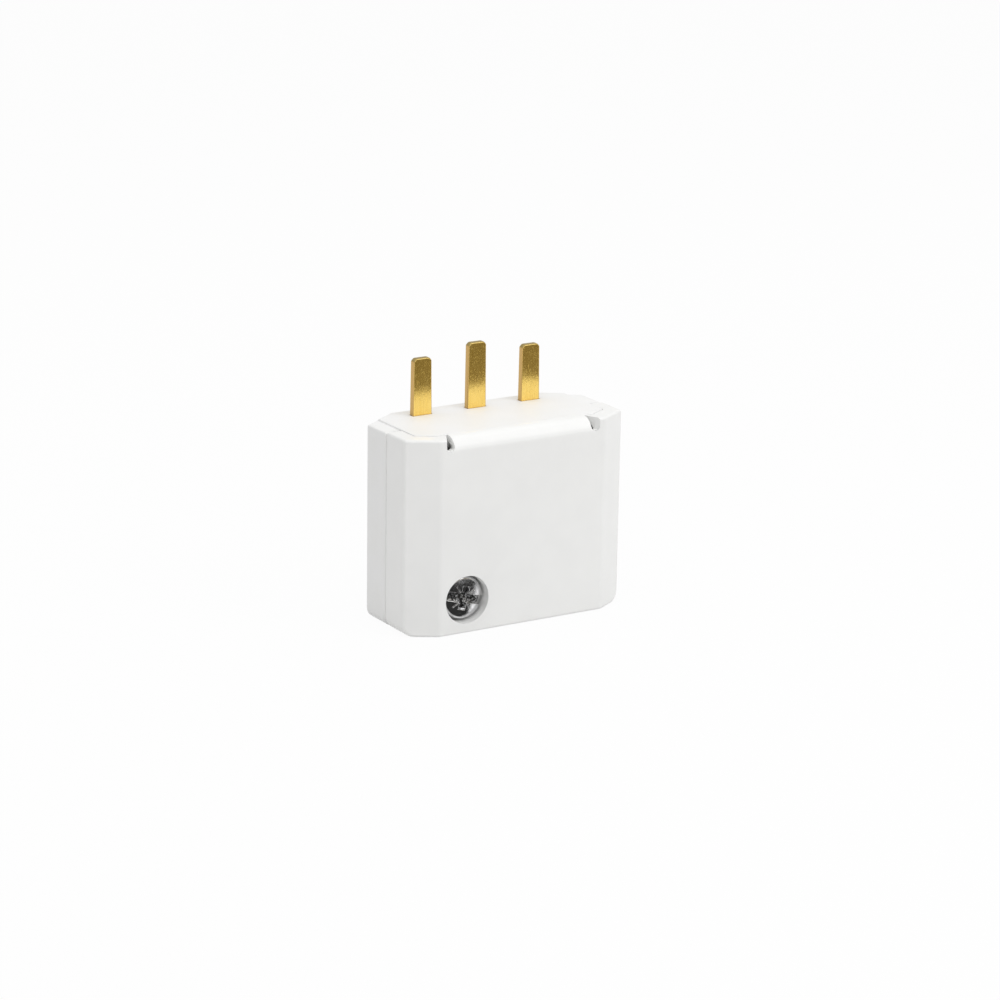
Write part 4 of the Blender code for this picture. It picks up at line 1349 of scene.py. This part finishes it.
@dataclass
class Studio:
    """Floor, backdrop, soft lights, camera, and dark cards that paint reflections.

    Attributes:
        floor_size: The floor's side.
        floor_drop: How far it lies below the plug.
        floor_colour: Its colour under the lamps.
        floor_white_share: How much of plain white the camera and mirrors see in it.
        fill: Strength of the surround's light.
        key_place: Where the smaller softbox hangs, with its side and its power in watts below.
        top_place: The same of the wide softbox.
        near_card: The card on the floor, a painted dark reflection in glossy surfaces.
        far_card: The card that the blades see, a painted dark brownish reflection in them.
        camera_place: Where the camera is.
        camera_yaw: Its turn about Z, in radians.
        camera_pitch: How far it looks down, in radians.
        camera_roll: Its turn about its own line of sight, in radians.
        camera_lens: Its focal length in millimetres.
        camera_shift: Its shift in X and Y, as shares of the picture's width.
        camera_clip: Where its view starts and ends.
        sensor: Its sensor's width in millimetres.
    """

    floor_size: float = 6.0
    floor_drop: float = 0.02 * MM
    floor_colour: Colour = (0.78, 0.78, 0.78)
    floor_white_share: float = 0.95
    fill: float = 0.826
    key_place: Vector = field(default_factory=lambda: Vector((0.24, -0.36, 0.30)))
    key_size: float = 0.25
    key_power: float = 0.48
    top_place: Vector = field(default_factory=lambda: Vector((0.0, -0.06, 0.34)))
    top_size: float = 0.50
    top_power: float = 0.62
    # painted reflections: two dark cards that only mirrors see
    near_card: Card = field(
        default=Card(
            "painted_reflection_near",
            ((-0.030, -0.300), (0.285, -0.300), (-0.0073, -0.0088), (-0.030, -0.0088)),
            0.4 * MM, (0.035, 0.035, 0.034),
        )
    )
    far_card: Card = field(
        default=Card(
            "painted_reflection_far",
            ((-0.012, -0.110), (0.085, -0.110), (0.085, -0.022), (-0.012, -0.022)),
            14.0 * MM, (0.25, 0.22, 0.16),
        )
    )
    camera_place: Vector = field(default_factory=lambda: Vector((-0.253621, -0.413648, 0.157491)))
    camera_yaw: float = -0.5519
    camera_pitch: float = 0.2831
    camera_roll: float = 0.0157
    camera_lens: float = 127.12
    camera_shift: tuple[float, float] = (0.0008, -0.0008)
    camera_clip: Band = (0.01, 20.0)
    sensor: float = 36.0

    @staticmethod
    def _flat(name: str, corners: tuple[tuple[float, float], ...], height: float) -> bpy.types.Object:
        """Lay a level sheet.

        Args:
            name: Its name.
            corners: Its corners in X and Y.
            height: Its height.

        Returns:
            The sheet.
        """
        mesh = bpy.data.meshes.new(name)
        mesh.from_pydata([(x, y, height) for x, y in corners], [], [range(len(corners))])
        made = placed(name, mesh)
        return made

    def build_floor(self) -> None:
        """Lay a pale floor that shows white to the camera and keeps a soft shadow."""
        half = self.floor_size / 2
        corners = ((-half, -half), (half, -half), (half, half), (-half, half))
        floor = self._flat("studio_floor", corners, -self.floor_drop)
        material = bpy.data.materials.new("studio_floor_white")
        graph = Graph.fresh(material)
        matt = graph.node("ShaderNodeBsdfDiffuse")
        matt.inputs["Color"].default_value = (*self.floor_colour, 1.0)
        white = graph.node("ShaderNodeEmission")
        seen = graph.maths("MULTIPLY", self._seen(graph), self.floor_white_share)
        both = graph.node("ShaderNodeMixShader")
        graph.feed(seen, both.inputs[0])
        graph.feed(matt.outputs[0], both.inputs[1])
        graph.feed(white.outputs[0], both.inputs[2])
        graph.feed(both.outputs[0], graph.node("ShaderNodeOutputMaterial").inputs["Surface"])
        floor.data.materials.append(material)

    @staticmethod
    def _seen(graph: Graph) -> Socket:
        """Tell what is seen from what only lights.

        Args:
            graph: The material's or world's graph.

        Returns:
            1 for what the camera sees, also in a mirror or through glass, and 0 for matt light.
        """
        rays = graph.node("ShaderNodeLightPath").outputs
        mirrored = graph.maths("MAXIMUM", rays["Is Glossy Ray"], rays["Is Transmission Ray"])
        return graph.maths("MAXIMUM", rays["Is Camera Ray"], mirrored)

    def build_painted_reflection(self, design: Card) -> None:
        """Lay a dark card that glows only for mirrors, as a painted dark reflection in glossy surfaces.

        Args:
            design: Its place and colour.
        """
        card = self._flat(design.name, design.corners, design.height)
        material = bpy.data.materials.new(f"{design.name}_matt")
        graph = Graph.fresh(material)
        # painted reflection: a dark glow that only glossy rays see
        glow = graph.node("ShaderNodeEmission")
        glow.inputs["Color"].default_value = (*design.colour, 1.0)
        graph.feed(glow.outputs[0], graph.node("ShaderNodeOutputMaterial").inputs["Surface"])
        card.data.materials.append(material)
        card.visible_camera = False
        card.visible_diffuse = False
        card.visible_shadow = False
        card.visible_transmission = False

    def build_world(self) -> None:
        """Make an even pale surround, white to the camera and in mirrors."""
        world = bpy.data.worlds.new("pale_studio")
        bpy.context.scene.world = world
        graph = Graph.fresh(world)
        surround = graph.node("ShaderNodeBackground")
        white = graph.node("ShaderNodeBackground")
        surround.inputs["Strength"].default_value = self.fill
        both = graph.node("ShaderNodeMixShader")
        graph.feed(self._seen(graph), both.inputs[0])
        graph.feed(surround.outputs[0], both.inputs[1])
        graph.feed(white.outputs[0], both.inputs[2])
        graph.feed(both.outputs[0], graph.node("ShaderNodeOutputWorld").inputs["Surface"])

    @staticmethod
    def _softbox(name: str, place: Vector, size: float, power: float) -> None:
        """Hang a square soft light that faces the plug.

        Args:
            name: Its name.
            place: Where it hangs, in metres.
            size: Its side.
            power: Its power in watts.
        """
        light = bpy.data.lights.new(name, "AREA")
        light.shape = "SQUARE"
        light.size = size
        light.energy = power
        made = placed(name, light)
        made.location = place
        made.rotation_euler = (-place).to_track_quat("-Z", "Y").to_euler()

    def build_lights(self) -> None:
        """Hang a wide box over the plug and a smaller one at its front right."""
        self._softbox("top_box", self.top_place, self.top_size, self.top_power)
        self._softbox("key_box", self.key_place, self.key_size, self.key_power)

    def build_camera(self) -> None:
        """Set up the camera at the photograph's angle."""
        yaw, pitch = self.camera_yaw, self.camera_pitch
        right = Vector((math.cos(yaw), math.sin(yaw), 0.0))
        level = math.cos(pitch)
        ahead = Vector((-math.sin(yaw) * level, math.cos(yaw) * level, -math.sin(pitch)))
        above = right.cross(ahead)
        turn = Matrix.Rotation(-self.camera_roll, 3, ahead)
        axes = Matrix((turn @ right, turn @ above, -(turn @ ahead))).transposed()
        lens = bpy.data.cameras.new("studio_camera")
        lens.type = "PERSP"
        lens.sensor_fit = "HORIZONTAL"
        lens.sensor_width = self.sensor
        lens.lens = self.camera_lens
        lens.shift_x, lens.shift_y = self.camera_shift
        lens.clip_start, lens.clip_end = self.camera_clip
        made = placed("studio_camera", lens)
        made.matrix_world = Matrix.Translation(self.camera_place) @ axes.to_4x4()
        bpy.context.scene.camera = made

    def build(self) -> None:
        """Build the whole studio."""
        self.build_floor()
        for card in (self.near_card, self.far_card):
            self.build_painted_reflection(card)
        self.build_world()
        self.build_lights()
        self.build_camera()
        bpy.context.scene.view_settings.view_transform = "Standard"


def main() -> None:
    """Build every sub-assembly and the studio, in order."""
    logging.basicConfig(level=logging.INFO, format="%(name)s: %(message)s")
    for assembly in (Housing(), Contacts(), Screws(), Fittings(), Studio()):
        assembly.build()
        LOG.info("%s is built", type(assembly).__name__)


if __name__ == "__main__":
    main()
